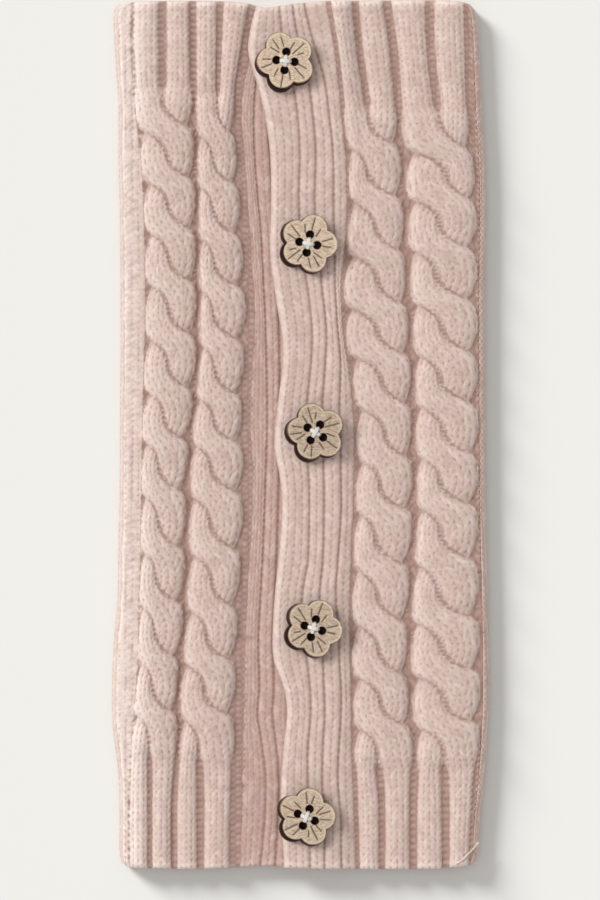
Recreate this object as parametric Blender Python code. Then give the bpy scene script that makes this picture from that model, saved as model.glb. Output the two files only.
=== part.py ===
"""A cable-knit leg warmer that buttons down its front, laid flat on a table.

The tube lies pressed together: the back is underneath, its sides are folded round to the
front, and the two fronts lie on it. Each front carries two rope cables that run out into
the ribs of the cuffs. A ribbed under band is joined to the left front, and the ribbed
button band on the right front lies over it, with five wooden flower buttons.

X runs across the tube, Y along it towards the top hem, Z up from the table.
All sizes below are millimetres.
"""

import math

import bmesh
import bpy
import numpy as np
from mathutils import Matrix

MM = 0.001

# Driving sizes.
LENGTH = 376.8
GAP = 0.3
BACK_WALL = 3.0
FRONT_WALL = 2.6
BAND_WALL = 2.2
CABLE_RISE = 3.7
CROSSING_LIFT = 1.1
CUFF_RIB_RISE = 2.3
BAND_RIB_RISE = 0.9
FOLD_RADIUS = 3.2
SEAM_INSET = 2.6
SEAM_ANGLE = 78
BUTTON_THICKNESS = 3.0
BUTTON_TILT = 7
BUTTON_DENT = 0.9
BUTTON_DENT_REACH = 9.0

# Heights of the layers above the table.
FRONT_UNDERSIDE = BACK_WALL + GAP
PURL_LEVEL = FRONT_UNDERSIDE + FRONT_WALL
UNDER_BAND_LEVEL = FRONT_UNDERSIDE + BAND_WALL
BAND_UNDERSIDE = UNDER_BAND_LEVEL + BAND_RIB_RISE + GAP

# Where the upper layer comes down again beside the under band's hidden edge.
UNDER_BAND_END = 14.0
COME_DOWN = 13.0

# The cuffs' ribs turn into cables over this stretch.
CUFF_BLEND = 9.0

# How far the middle line of a cuff rib or a cable strand lies from the cable's middle, and
# how far the ribs or strands reach in all, as shares of half a cable's width.
RIB_SWING = 0.5
STRAND_SWING = 0.42
CABLE_REACH = 0.94

# Above 0, a strand lies longer at its side and crosses over in a shorter stretch.
HASTE = 0.15

# How much narrower a strand is where it dives under the other, and how much of a
# crossing's lift is gone at the cable's sides.
DIVE = 0.2
LIFT_FADE = 0.5

# The least width of the purl edge beyond the outermost cables.
LEAST_EDGE = 0.5

# The purl ground runs on this far past a cable's gutter to the joint with the under band.
JOINT_OFFSET = 3.0

# Spacing of the points along the cables, along plain ribs, along the bands and the back.
CABLE_STEP = 3.3
RIB_STEP = 8.5
BAND_STEP = 7.8
BACK_STEP = 8.5

# Columns of points over one cable, over an edge rib, over the joint's purl ground, and
# over each rib of the bands, those of the under band first where they show.
CABLE_COLUMNS = 9
EDGE_COLUMNS = 2
JOINT_COLUMNS = 1
BAND_COLUMNS = (4, 3, 3, 2)
UNDER_BAND_SHOWN = (3, 3)
UNDER_BAND_HIDDEN = 2
BACK_COLUMNS = 8
FOLD_POINTS = 6


def table(columns, *rows):
    """A table with named columns, as a dictionary of column name to its numbers."""
    return dict(zip(columns.split(), zip(*rows)))


# The side folds, from the bottom hem (rise 0) to the top one.
OUTLINE = table(
    "rise left right",
    (0, -77.6, 76.4),
    (5, -78.5, 77.4),
    (21, -78.5, 78.3),
    (39, -79.0, 80.1),
    (60, -81.4, 81.4),
    (73, -81.8, 81.8),
    (95, -81.1, 81.8),
    (117, -79.4, 81.4),
    (138, -79.0, 80.9),
    (160, -78.5, 80.5),
    (247, -78.1, 80.1),
    (290, -78.5, 80.5),
    (312, -79.0, 80.1),
    (333, -79.0, 78.8),
    (355, -80.3, 77.9),
    (371, -81.1, 76.9),
    (377, -80.4, 75.6),
)

# The hems rise and dip a little across the width.
HEMS = table(
    "x bottom top",
    (-79, 2.6, 374.5),
    (-72, 0.8, 376.0),
    (-43, 0.2, 376.5),
    (-24, 1.1, 375.6),
    (-15, 1.5, 373.4),
    (-6, 0.9, 374.6),
    (12, 0.4, 376.2),
    (43, 0.0, 376.8),
    (65, 0.6, 376.6),
    (73, 1.8, 375.2),
    (78, 3.4, 371.8),
)

# Left front: the purl gutters beside its two cables, and the middles of the cables.
LEFT_LINES = table(
    "rise side middle_1 between middle_2 inner",
    (0, -74.7, -65.1, -54.7, -43.4, -29.2),
    (30, -74.7, -65.1, -54.7, -43.4, -28.4),
    (56, -73.4, -65.4, -52.6, -44.0, -27.8),
    (79, -71.4, -63.8, -52.6, -41.3, -27.4),
    (103, -70.4, -62.9, -50.4, -40.2, -26.8),
    (126, -69.8, -62.3, -49.3, -38.0, -25.6),
    (150, -69.4, -61.2, -48.8, -38.7, -24.2),
    (175, -69.0, -61.4, -48.1, -38.6, -23.9),
    (196, -68.6, -58.8, -46.6, -37.0, -24.8),
    (219, -68.0, -57.1, -44.5, -36.6, -23.9),
    (243, -67.4, -56.9, -44.3, -37.6, -22.8),
    (265, -67.6, -56.9, -44.5, -37.0, -24.2),
    (288, -68.2, -57.1, -44.7, -37.6, -25.6),
    (308, -69.4, -57.6, -45.2, -37.6, -27.0),
    (331, -72.0, -59.4, -45.8, -35.8, -28.4),
    (355, -73.8, -59.5, -46.2, -35.2, -24.8),
    (377, -73.8, -59.5, -46.5, -34.8, -20.6),
)

# Right front, in the same way, from the button band outwards.
RIGHT_LINES = table(
    "rise inner middle_3 between middle_4 side",
    (0, 24.6, 35.2, 48.9, 63.2, 74.2),
    (30, 23.6, 35.2, 48.9, 63.0, 76.0),
    (51, 22.9, 33.2, 49.7, 62.0, 78.0),
    (73, 22.4, 35.0, 47.6, 62.6, 78.8),
    (96, 21.9, 34.1, 47.0, 61.2, 78.6),
    (119, 22.0, 33.5, 47.8, 59.7, 78.2),
    (145, 23.0, 32.4, 49.3, 60.6, 77.8),
    (167, 23.7, 34.6, 49.6, 60.4, 77.8),
    (189, 23.7, 36.8, 48.9, 62.0, 77.8),
    (212, 22.2, 35.2, 48.9, 60.3, 77.6),
    (233, 18.8, 33.6, 47.8, 61.6, 77.4),
    (256, 18.2, 33.5, 46.6, 58.8, 77.4),
    (279, 20.4, 32.4, 45.6, 60.1, 77.2),
    (301, 20.6, 29.0, 44.8, 63.4, 76.4),
    (325, 18.6, 29.6, 42.8, 60.4, 73.8),
    (355, 15.4, 25.4, 40.4, 56.4, 73.0),
    (377, 11.6, 23.6, 37.0, 56.2, 72.8),
)

# Where the two strands of each cable lie side by side. Between two rows one strand
# crosses over the other, from upper left to lower right.
CREASES = table(
    "cable_1 cable_2 cable_3 cable_4",
    (332.4, 330.0, 324.5, 323.0),
    (309.6, 307.4, 302.0, 300.5),
    (287.9, 285.8, 278.6, 279.9),
    (265.2, 262.6, 255.4, 257.4),
    (242.9, 240.7, 232.7, 234.2),
    (218.6, 215.6, 212.1, 212.5),
    (195.9, 194.3, 188.9, 190.0),
    (175.3, 174.6, 166.6, 168.1),
    (150.4, 149.9, 143.9, 146.0),
    (126.5, 124.8, 118.5, 119.6),
    (103.1, 101.0, 95.1, 96.0),
    (78.9, 78.2, 72.8, 72.8),
    (56.1, 53.9, 51.2, 50.9),
)

# Button band: its free edge, the valleys between its ribs, and its joined edge.
BAND_LINES = table(
    "rise edge valley_1 valley_2 valley_3",
    (0, -7.0, 4.3, 10.6, 18.0),
    (24, -8.4, 4.0, 10.2, 17.4),
    (39, -8.3, 3.4, 9.6, 16.4),
    (52, -7.3, 3.4, 9.9, 16.8),
    (68, -5.8, 4.6, 10.7, 17.8),
    (78, -7.0, 4.4, 10.4, 17.8),
    (91, -11.6, 3.0, 9.8, 17.0),
    (106, -11.9, 0.8, 8.8, 16.0),
    (121, -10.9, 1.2, 8.6, 15.5),
    (134, -9.6, 3.4, 9.9, 16.4),
    (155, -8.0, 4.0, 10.4, 17.8),
    (170, -8.8, 3.8, 10.3, 17.7),
    (185, -11.3, 2.6, 9.6, 17.2),
    (204, -9.6, 3.2, 9.8, 17.2),
    (220, -7.8, 4.8, 11.0, 17.6),
    (234, -8.3, 5.2, 11.4, 16.4),
    (250, -10.8, 3.6, 9.8, 15.4),
    (269, -13.2, 0.8, 7.8, 14.6),
    (290, -12.7, -0.5, 6.4, 14.6),
    (312, -13.1, -0.1, 6.8, 14.2),
    (329, -15.3, -1.2, 5.4, 12.4),
    (342, -18.6, -3.4, 3.6, 10.6),
    (355, -22.6, -6.4, 0.4, 6.8),
    (366, -21.6, -8.0, -1.8, 4.0),
    (377, -19.0, -9.0, -3.4, 1.6),
)

# Under band: the valley between its first two ribs.
UNDER_BAND_LINES = table(
    "rise valley_1",
    (0, -17.2),
    (22, -15.2),
    (40, -15.0),
    (56, -16.8),
    (66, -18.4),
    (78, -17.6),
    (99, -18.0),
    (119, -17.0),
    (134, -16.2),
    (160, -15.2),
    (195, -14.2),
    (234, -14.8),
    (260, -16.0),
    (277, -16.8),
    (294, -18.4),
    (320, -20.0),
    (342, -19.2),
    (355, -16.0),
    (377, -12.8),
)
UNDER_BAND_RIBS = 5

# Flower buttons from the top one down. Spin turns the first petal from +X, and low is
# the way in which the button is tilted down.
BUTTONS = table(
    "x rise spin low",
    (-6.2, 349.9, 39, 240),
    (3.8, 271.0, 214, 205),
    (6.8, 189.6, 103, 220),
    (6.0, 105.1, 209, 200),
    (2.9, 23.6, 293, 215),
)
PETALS = 5
PETAL_CENTRE = 7.0
PETAL_RADIUS = 6.0
PETAL_POINTS = 8
HOLES = 4
HOLE_CENTRE = 3.9
HOLE_RADIUS = 1.7
HOLE_POINTS = 8
HOLE_SPIN = 45


def read(lines, column, rise, by="rise"):
    """The value of a table's column at a rise, on a smooth curve through its rows."""
    at = lines[by]
    values = lines[column]
    last = len(at) - 1
    if rise <= at[0]:
        return values[0]
    if rise >= at[last]:
        return values[last]
    row = next(i for i in range(last) if rise <= at[i + 1])

    def slope(i):
        low = max(i - 1, 0)
        high = min(i + 1, last)
        return (values[high] - values[low]) / (at[high] - at[low])

    span = at[row + 1] - at[row]
    t = (rise - at[row]) / span
    start = (1 + 2 * t) * (1 - t) ** 2 * values[row] + t * t * (3 - 2 * t) * values[row + 1]
    return start + span * (t * (1 - t) ** 2 * slope(row) - t * t * (1 - t) * slope(row + 1))


def smooth(t):
    """0 below 0, 1 above 1, and an even curve between."""
    t = min(max(t, 0.0), 1.0)
    return t * t * (3 - 2 * t)


def mix(a, b, t):
    return a + (b - a) * t


def hem_point(x, rise):
    """Y of a point, so that rise 0 and LENGTH follow the hems. Y is 0 at mid length."""
    t = rise / LENGTH
    y = mix(read(HEMS, "bottom", x, by="x"), read(HEMS, "top", x, by="x"), t)
    return y - LENGTH / 2


def lift(x):
    """How far the upper layer is raised by the under band below it."""
    over_band = BAND_UNDERSIDE - FRONT_UNDERSIDE
    return over_band * smooth(1 - (x - UNDER_BAND_END) / COME_DOWN)


def bulge(offset, reach):
    """The round back of a rib or strand: 1 on its middle line and 0 from its reach on."""
    inside = 1 - (offset / reach) ** 2
    return math.sqrt(inside) if inside > 0 else 0.0


def turns(creases, rise):
    """How many crossings lie between a point and the bottom of the cable."""
    return float(np.interp(rise, creases[::-1], range(len(creases))))


def sway(turn):
    """Where a strand's middle line lies, from side (1) to side (-1)."""
    return math.cos(turn) * (1 + HASTE * math.sin(turn) ** 2)


def cable(x, left, middle, right, creases, rise):
    """Height of a two-strand rope cable, or of the two ribs that it becomes in a cuff."""
    half = (right - left) / 2
    side = middle - left if x < middle else right - middle
    across = (x - middle) / side * half
    turn = math.pi * turns(creases, rise)
    from_cable = max(creases[-1] - rise, rise - creases[0])
    body = 1 - smooth(from_cable / CUFF_BLEND)
    strand_rise = mix(CUFF_RIB_RISE, CABLE_RISE, body)
    swing = mix(RIB_SWING, STRAND_SWING, body)
    side_share = sway(turn)
    height = 0.0
    for way in (1, -1):
        over = way * math.sin(turn) * body
        reach = (CABLE_REACH - swing * abs(side_share)) * half * (1 + DIVE * min(over, 0))
        away = across - way * swing * side_share * half
        if abs(away) < reach:
            raised = CROSSING_LIFT * over * (1 - LIFT_FADE * (across / half) ** 2)
            height = max(height, strand_rise * bulge(away, reach) + raised)
    return height


def front_height(lines, names, cables, x, rise):
    """Height of a front's outer face above its purl ground."""
    columns = [read(lines, name, rise) for name in names]
    for cable_index in range(2):
        left, middle, right = columns[2 * cable_index : 2 * cable_index + 3]
        if left < x < right:
            return cable(x, left, middle, right, CREASES[cables[cable_index]], rise)
    return 0.0


LEFT_NAMES = ("side", "middle_1", "between", "middle_2", "inner")
RIGHT_NAMES = ("inner", "middle_3", "between", "middle_4", "side")


def left_top(x, rise):
    return PURL_LEVEL + front_height(LEFT_LINES, LEFT_NAMES, ("cable_1", "cable_2"), x, rise)


def right_top(x, rise):
    height = front_height(RIGHT_LINES, RIGHT_NAMES, ("cable_3", "cable_4"), x, rise)
    return PURL_LEVEL + lift(x) + height


def lower_underside(x, rise):
    """The underside of what lies straight on the back."""
    return FRONT_UNDERSIDE


def ribs(x, valleys):
    """Height of round ribs between valleys."""
    for left, right in zip(valleys, valleys[1:]):
        if left <= x <= right:
            return BAND_RIB_RISE * bulge(x - (left + right) / 2, (right - left) / 2)
    return 0.0


def dent(x, rise):
    """How far the buttons press into the band."""
    deepest = 0.0
    for button_x, button_rise in zip(BUTTONS["x"], BUTTONS["rise"]):
        away = math.hypot(x - button_x, rise - button_rise) / BUTTON_DENT_REACH
        deepest = max(deepest, BUTTON_DENT * math.exp(-(away**2)))
    return deepest


def band_joint(rise):
    return read(RIGHT_LINES, "inner", rise)


def band_valleys(rise):
    names = ("edge", "valley_1", "valley_2", "valley_3")
    return [read(BAND_LINES, name, rise) for name in names] + [band_joint(rise)]


def upper_underside(x, rise):
    """The underside of what lies over the under band and comes down beside it."""
    return FRONT_UNDERSIDE + lift(x)


def band_top(x, rise):
    level = FRONT_UNDERSIDE + lift(x) + BAND_WALL
    return level + ribs(x, band_valleys(rise)) - dent(x, rise)


def under_band_valleys(rise):
    joint = read(LEFT_LINES, "inner", rise) + JOINT_OFFSET
    first = read(UNDER_BAND_LINES, "valley_1", rise)
    width = (UNDER_BAND_END - first) / UNDER_BAND_RIBS
    return [joint] + [first + width * i for i in range(UNDER_BAND_RIBS + 1)]


def under_band_top(x, rise):
    return UNDER_BAND_LEVEL + ribs(x, under_band_valleys(rise))


def material(name, colour, roughness):
    made = bpy.data.materials.new(name)
    made.use_nodes = True
    shader = made.node_tree.nodes["Principled BSDF"]
    shader.inputs["Base Color"].default_value = (*colour, 1)
    shader.inputs["Roughness"].default_value = roughness
    shader.inputs["Metallic"].default_value = 0
    return made


def place_mesh(bm, name, finish):
    """Makes the node's object from a finished bmesh."""
    bmesh.ops.recalc_face_normals(bm, faces=bm.faces)
    mesh = bpy.data.meshes.new(name)
    bm.to_mesh(mesh)
    bm.free()
    mesh.materials.append(finish)
    mesh.shade_smooth()
    mesh.set_sharp_from_angle(angle=math.radians(50))
    made = bpy.data.objects.new(name, mesh)
    bpy.context.scene.collection.objects.link(made)
    return made


def knitted_wall(name, finish, column_lines, rises, top, underside):
    """One flat-knitted piece as a closed wall.

    column_lines(rise) gives the x of each column of points. A grid is extruded once, so
    the first face becomes the underside and the second one the ribbed outer face. That
    face is cut into triangles along the slant of the cables' strands.
    """
    columns = len(column_lines(rises[0])) - 1
    rows = len(rises) - 1
    bm = bmesh.new()
    bmesh.ops.create_grid(bm, x_segments=columns, y_segments=rows, size=0.5)
    lower = list(bm.verts)
    raised = bmesh.ops.extrude_face_region(bm, geom=bm.faces)["geom"]
    upper = [item for item in raised if isinstance(item, bmesh.types.BMVert)]
    lines = [column_lines(rise) for rise in rises]
    for group, height in ((lower, underside), (upper, top)):
        for vert in group:
            row = round((vert.co.y + 0.5) * rows)
            x = lines[row][round((vert.co.x + 0.5) * columns)]
            rise = rises[row]
            vert.co = (x * MM, hem_point(x, rise) * MM, height(x, rise) * MM)
    raised_verts = set(upper)
    outer = [face for face in bm.faces if raised_verts.issuperset(face.verts)]
    bmesh.ops.triangulate(bm, faces=outer, quad_method="ALTERNATE")
    return place_mesh(bm, name, finish)


def spaced(points, counts):
    """The points again, with each stretch between two of them cut into a count."""
    found = [points[0]]
    for start, end, count in zip(points, points[1:], counts):
        found += [mix(start, end, (i + 1) / count) for i in range(count)]
    return found


def front_rises():
    """Rises of the rows of points: close along the cables, and wide along the cuffs."""
    low = min(CREASES[name][-1] for name in CREASES) - CUFF_BLEND / 2
    high = max(CREASES[name][0] for name in CREASES) + CUFF_BLEND
    counts = (
        round(low / RIB_STEP),
        round((high - low) / CABLE_STEP),
        round((LENGTH - high) / RIB_STEP),
    )
    return spaced([0, low, high, LENGTH], counts)


def left_columns(rise):
    seam = read(OUTLINE, "left", rise) + SEAM_INSET + GAP
    side, _, between, _, inner = (read(LEFT_LINES, name, rise) for name in LEFT_NAMES)
    side = max(side, seam + LEAST_EDGE)
    joint = inner + JOINT_OFFSET - GAP
    counts = (EDGE_COLUMNS, CABLE_COLUMNS, CABLE_COLUMNS, JOINT_COLUMNS)
    return spaced([seam, side, between, inner, joint], counts)


def right_columns(rise):
    seam = read(OUTLINE, "right", rise) - SEAM_INSET - GAP
    inner, _, between, _, side = (read(RIGHT_LINES, name, rise) for name in RIGHT_NAMES)
    counts = (CABLE_COLUMNS, CABLE_COLUMNS, EDGE_COLUMNS)
    return spaced([inner, between, min(side, seam - LEAST_EDGE), seam], counts)


def band_columns(rise):
    valleys = band_valleys(rise)
    valleys[-1] -= GAP
    return spaced(valleys, BAND_COLUMNS)


def under_band_columns(rise):
    valleys = under_band_valleys(rise)
    shown = len(UNDER_BAND_SHOWN)
    hidden = [UNDER_BAND_HIDDEN] * (len(valleys) - 1 - shown)
    return spaced(valleys, [*UNDER_BAND_SHOWN, *hidden])


def back_section(rise):
    """The back's outline in a cut across the tube, as (x, z) points all round.

    The wall lies flat. At each side it is folded over, and its turned-up edge ends at
    the side seam beside a front.
    """
    left = read(OUTLINE, "left", rise) + FOLD_RADIUS
    right = read(OUTLINE, "right", rise) - FOLD_RADIUS
    turns_up = [i / FOLD_POINTS for i in range(FOLD_POINTS + 1)]
    angles = [math.radians(mix(-90, SEAM_ANGLE, t)) for t in turns_up]
    fold = [(FOLD_RADIUS * math.cos(a), FOLD_RADIUS * math.sin(a)) for a in angles]
    seam_x = FOLD_RADIUS - SEAM_INSET
    across = [i / BACK_COLUMNS for i in range(BACK_COLUMNS + 1)]
    floor = [mix(left - seam_x, right + seam_x, t) for t in across]
    right_fold = [(right + x, FOLD_RADIUS + z) for x, z in fold]
    left_fold = [(left - x, FOLD_RADIUS + z) for x, z in fold]
    bottom = [(x, 0.0) for x in floor[1:-1]]
    inside = [(x, BACK_WALL) for x in floor[::-1]]
    return bottom + right_fold + inside + left_fold[::-1]


def make_back(finish):
    """Rings of points along the tube, each extruded from the last one, and two ends."""
    rises = spaced([0, LENGTH], (round(LENGTH / BACK_STEP),))
    section = back_section(rises[0])
    bm = bmesh.new()
    ring = bmesh.ops.create_circle(bm, cap_ends=False, segments=len(section))["verts"]
    edges = list(bm.edges)
    rings = [ring]
    for _ in rises[1:]:
        found = bmesh.ops.extrude_edge_only(bm, edges=edges)["geom"]
        edges = [item for item in found if isinstance(item, bmesh.types.BMEdge)]
        copies = {item for item in found if isinstance(item, bmesh.types.BMVert)}
        ring = [
            next(e.other_vert(vert) for e in vert.link_edges if e.other_vert(vert) in copies)
            for vert in ring
        ]
        rings.append(ring)
    for ring, rise in zip(rings, rises):
        for vert, (x, z) in zip(ring, back_section(rise)):
            vert.co = (x * MM, hem_point(x, rise) * MM, z * MM)
    bmesh.ops.holes_fill(bm, edges=[edge for edge in bm.edges if edge.is_boundary])
    ends = [face for face in bm.faces if len(face.verts) > 4]
    bmesh.ops.triangulate(bm, faces=ends)
    return place_mesh(bm, "back", finish)


def petal_reach(angle):
    """Distance from the button's middle to its five-petalled edge."""
    step = 2 * math.pi / PETALS
    away = (angle + step / 2) % step - step / 2
    across = PETAL_CENTRE * math.sin(away)
    return PETAL_CENTRE * math.cos(away) + math.sqrt(PETAL_RADIUS**2 - across**2)


def loop(bm, points):
    """A closed loop of edges through flat points."""
    verts = [bm.verts.new((x * MM, y * MM, 0)) for x, y in points]
    return [bm.edges.new(pair) for pair in zip(verts, verts[1:] + verts[:1])]


def make_button(name, x, rise, spin, low, finish):
    """A flower-shaped wooden button with four holes, tilted as it is sewn on."""
    bm = bmesh.new()
    count = PETALS * PETAL_POINTS
    angles = [2 * math.pi * i / count for i in range(count)]
    edges = loop(bm, [(petal_reach(a) * math.cos(a), petal_reach(a) * math.sin(a)) for a in angles])
    for hole in range(HOLES):
        middle = math.radians(HOLE_SPIN + 360 * hole / HOLES)
        hole_x = HOLE_CENTRE * math.cos(middle)
        hole_y = HOLE_CENTRE * math.sin(middle)
        turn = [2 * math.pi * i / HOLE_POINTS for i in range(HOLE_POINTS)]
        edges += loop(
            bm,
            [(hole_x + HOLE_RADIUS * math.cos(a), hole_y + HOLE_RADIUS * math.sin(a)) for a in turn],
        )
    bmesh.ops.triangle_fill(bm, use_beauty=True, edges=edges)
    raised = bmesh.ops.extrude_face_region(bm, geom=bm.faces)["geom"]
    upper = [item for item in raised if isinstance(item, bmesh.types.BMVert)]
    bmesh.ops.translate(bm, vec=(0, 0, BUTTON_THICKNESS * MM), verts=upper)
    bmesh.ops.rotate(bm, matrix=Matrix.Rotation(math.radians(spin), 3, "Z"), verts=bm.verts)
    low = math.radians(low)
    tilt = Matrix.Rotation(math.radians(BUTTON_TILT), 3, (-math.sin(low), math.cos(low), 0))
    bmesh.ops.rotate(bm, matrix=tilt, verts=bm.verts)
    seat = max(
        band_top(x + vert.co.x / MM, rise + vert.co.y / MM) - vert.co.z / MM for vert in bm.verts
    )
    place = (x * MM, (rise - LENGTH / 2) * MM, (seat + GAP) * MM)
    bmesh.ops.translate(bm, vec=place, verts=bm.verts)
    return place_mesh(bm, name, finish)


def main():
    for old in list(bpy.data.objects):
        bpy.data.objects.remove(old)
    wool = material("pink_wool", (0.62, 0.46, 0.40), 0.95)
    shaded_wool = material("pink_wool_band", (0.55, 0.40, 0.35), 0.95)
    wood = material("pale_wood", (0.50, 0.40, 0.28), 0.6)
    rises = front_rises()
    band_rises = spaced([0, LENGTH], (round(LENGTH / BAND_STEP),))
    make_back(wool)
    knitted_wall("left_front", wool, left_columns, rises, left_top, lower_underside)
    knitted_wall("right_front", wool, right_columns, rises, right_top, upper_underside)
    knitted_wall(
        "under_band", shaded_wool, under_band_columns, band_rises, under_band_top, lower_underside
    )
    knitted_wall("button_band", wool, band_columns, band_rises, band_top, upper_underside)
    for index, (x, rise, spin, low) in enumerate(zip(*BUTTONS.values())):
        make_button(f"button_{index + 1}", x, rise, spin, low, wood)


main()
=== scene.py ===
# %% [markdown]
# A cable-knit leg warmer laid flat, with a buttoned ribbed band down its front.
#
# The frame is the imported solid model: the back, two fronts, two bands and five buttons, each
# a closed solid with the true form but no stitches. This lesson dresses each of them: the
# same sizes and the same formulas give the form, and every knit stitch is raised on it.
# The frame is loaded first, and its box is kept, because nothing may grow far beyond it.

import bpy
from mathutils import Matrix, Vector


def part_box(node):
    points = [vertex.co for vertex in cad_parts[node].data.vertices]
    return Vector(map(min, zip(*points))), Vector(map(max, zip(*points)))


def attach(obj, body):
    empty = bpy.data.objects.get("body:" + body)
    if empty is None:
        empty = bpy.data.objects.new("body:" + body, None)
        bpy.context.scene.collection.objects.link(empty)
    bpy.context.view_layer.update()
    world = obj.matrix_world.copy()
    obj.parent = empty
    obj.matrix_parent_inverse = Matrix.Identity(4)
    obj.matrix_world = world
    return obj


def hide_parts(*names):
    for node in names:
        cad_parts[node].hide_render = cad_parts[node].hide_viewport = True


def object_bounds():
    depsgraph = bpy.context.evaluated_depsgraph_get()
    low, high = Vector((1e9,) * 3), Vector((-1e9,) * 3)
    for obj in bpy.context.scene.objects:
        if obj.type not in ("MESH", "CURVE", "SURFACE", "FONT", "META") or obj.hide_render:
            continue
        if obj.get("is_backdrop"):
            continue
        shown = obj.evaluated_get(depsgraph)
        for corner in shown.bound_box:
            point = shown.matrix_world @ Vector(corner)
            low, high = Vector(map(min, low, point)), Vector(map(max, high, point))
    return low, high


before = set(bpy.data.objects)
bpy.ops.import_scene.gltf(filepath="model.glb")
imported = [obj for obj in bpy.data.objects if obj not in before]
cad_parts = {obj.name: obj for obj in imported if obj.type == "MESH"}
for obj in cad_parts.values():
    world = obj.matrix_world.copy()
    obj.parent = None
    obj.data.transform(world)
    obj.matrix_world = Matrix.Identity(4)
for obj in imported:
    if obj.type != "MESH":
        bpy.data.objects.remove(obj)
cad_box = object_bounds()
print("nodes in the frame:", ", ".join(sorted(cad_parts)))

# %% The modules that the lesson uses
import math

import bmesh
import bpy
import numpy as np
from mathutils import Matrix, Vector

# %% [markdown]
# Sizes. All lengths are millimetres until a mesh is placed. The driving sizes are those of
# the solid model, so that each knitted face lies on its solid. A knitted fabric is measured
# by its gauge: here a stitch is a V of two legs, each 2.8 mm wide, and a row is 2.8 mm high.

# %% Driving sizes
MM = 0.001
LENGTH = 376.8
GAP = 0.3
BACK_WALL = 3.0
FRONT_WALL = 2.6
BAND_WALL = 2.2
CABLE_RISE = 3.7
CROSSING_LIFT = 1.1
CUFF_RIB_RISE = 2.3
BAND_RIB_RISE = 0.9
FOLD_RADIUS = 3.2
SEAM_INSET = 2.6
SEAM_ANGLE = 78
BUTTON_THICKNESS = 3.0
BUTTON_TILT = 7
BUTTON_DENT = 0.9
BUTTON_DENT_REACH = 9.0
FRONT_UNDERSIDE = BACK_WALL + GAP
PURL_LEVEL = FRONT_UNDERSIDE + FRONT_WALL
UNDER_BAND_LEVEL = FRONT_UNDERSIDE + BAND_WALL
BAND_UNDERSIDE = UNDER_BAND_LEVEL + BAND_RIB_RISE + GAP
UNDER_BAND_END = 14.0
COME_DOWN = 13.0
CUFF_BLEND = 9.0
RIB_SWING = 0.5
STRAND_SWING = 0.42
CABLE_REACH = 0.94
HASTE = 0.15
LEAST_EDGE = 0.5
JOINT_OFFSET = 3.0
UNDER_BAND_RIBS = 5

# %% Gauge of the knitting
ROW = 2.8
LEG = 2.8
LEG_SLOPE = 1.15
print(f"gauge: {100 / (2 * LEG):.0f} stitches and {100 / ROW:.0f} rows to 10 cm")

# %% [markdown]
# The tables say how the real garment lies: its outline, its wavy hems, the purl gutters
# beside the cables, the middles of the cables, and where each cable's two strands cross.
# They could be straight lines, but hand-laid knitting is never straight, and the eye sees
# that at once. Each table has named columns, and a smooth curve is read through its rows.
# A button's row says where it lies, how far its petals are turned, to which side its burnt
# wall shows, and how much its colour is lightened or darkened.


# %% Tables
def table(columns, *rows):
    """A table with named columns, as a dictionary of column name to its numbers."""
    return dict(zip(columns.split(), zip(*rows)))


OUTLINE = table(
    "rise left right",
    (0, -77.6, 76.4),
    (5, -78.5, 77.4),
    (21, -78.5, 78.3),
    (39, -79.0, 80.1),
    (60, -81.4, 81.4),
    (73, -81.8, 81.8),
    (95, -81.1, 81.8),
    (117, -79.4, 81.4),
    (138, -79.0, 80.9),
    (160, -78.5, 80.5),
    (247, -78.1, 80.1),
    (290, -78.5, 80.5),
    (312, -79.0, 80.1),
    (333, -79.0, 78.8),
    (355, -80.3, 77.9),
    (371, -81.1, 76.9),
    (377, -80.4, 75.6),
)

HEMS = table(
    "x bottom top",
    (-79, 2.6, 374.5),
    (-72, 0.8, 376.0),
    (-43, 0.2, 376.5),
    (-24, 1.1, 375.6),
    (-15, 1.5, 373.4),
    (-6, 0.9, 374.6),
    (12, 0.4, 376.2),
    (43, 0.0, 376.8),
    (65, 0.6, 376.6),
    (73, 1.8, 375.2),
    (78, 3.4, 371.8),
)

LEFT_LINES = table(
    "rise side middle_1 between middle_2 inner",
    (0, -74.7, -65.1, -54.7, -43.4, -29.2),
    (30, -74.7, -65.1, -54.7, -43.4, -28.4),
    (56, -73.4, -65.4, -52.6, -44.0, -27.8),
    (79, -71.4, -63.8, -52.6, -41.3, -27.4),
    (103, -70.4, -62.9, -50.4, -40.2, -26.8),
    (126, -69.8, -62.3, -49.3, -38.0, -25.6),
    (150, -69.4, -61.2, -48.8, -38.7, -24.2),
    (175, -69.0, -61.4, -48.1, -38.6, -23.9),
    (196, -68.6, -58.8, -46.6, -37.0, -24.8),
    (219, -68.0, -57.1, -44.5, -36.6, -23.9),
    (243, -67.4, -56.9, -44.3, -37.6, -22.8),
    (265, -67.6, -56.9, -44.5, -37.0, -24.2),
    (288, -68.2, -57.1, -44.7, -37.6, -25.6),
    (308, -69.4, -57.6, -45.2, -37.6, -27.0),
    (331, -72.0, -59.4, -45.8, -35.8, -28.4),
    (355, -73.8, -59.5, -46.2, -35.2, -24.8),
    (377, -73.8, -59.5, -46.5, -34.8, -20.6),
)

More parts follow.
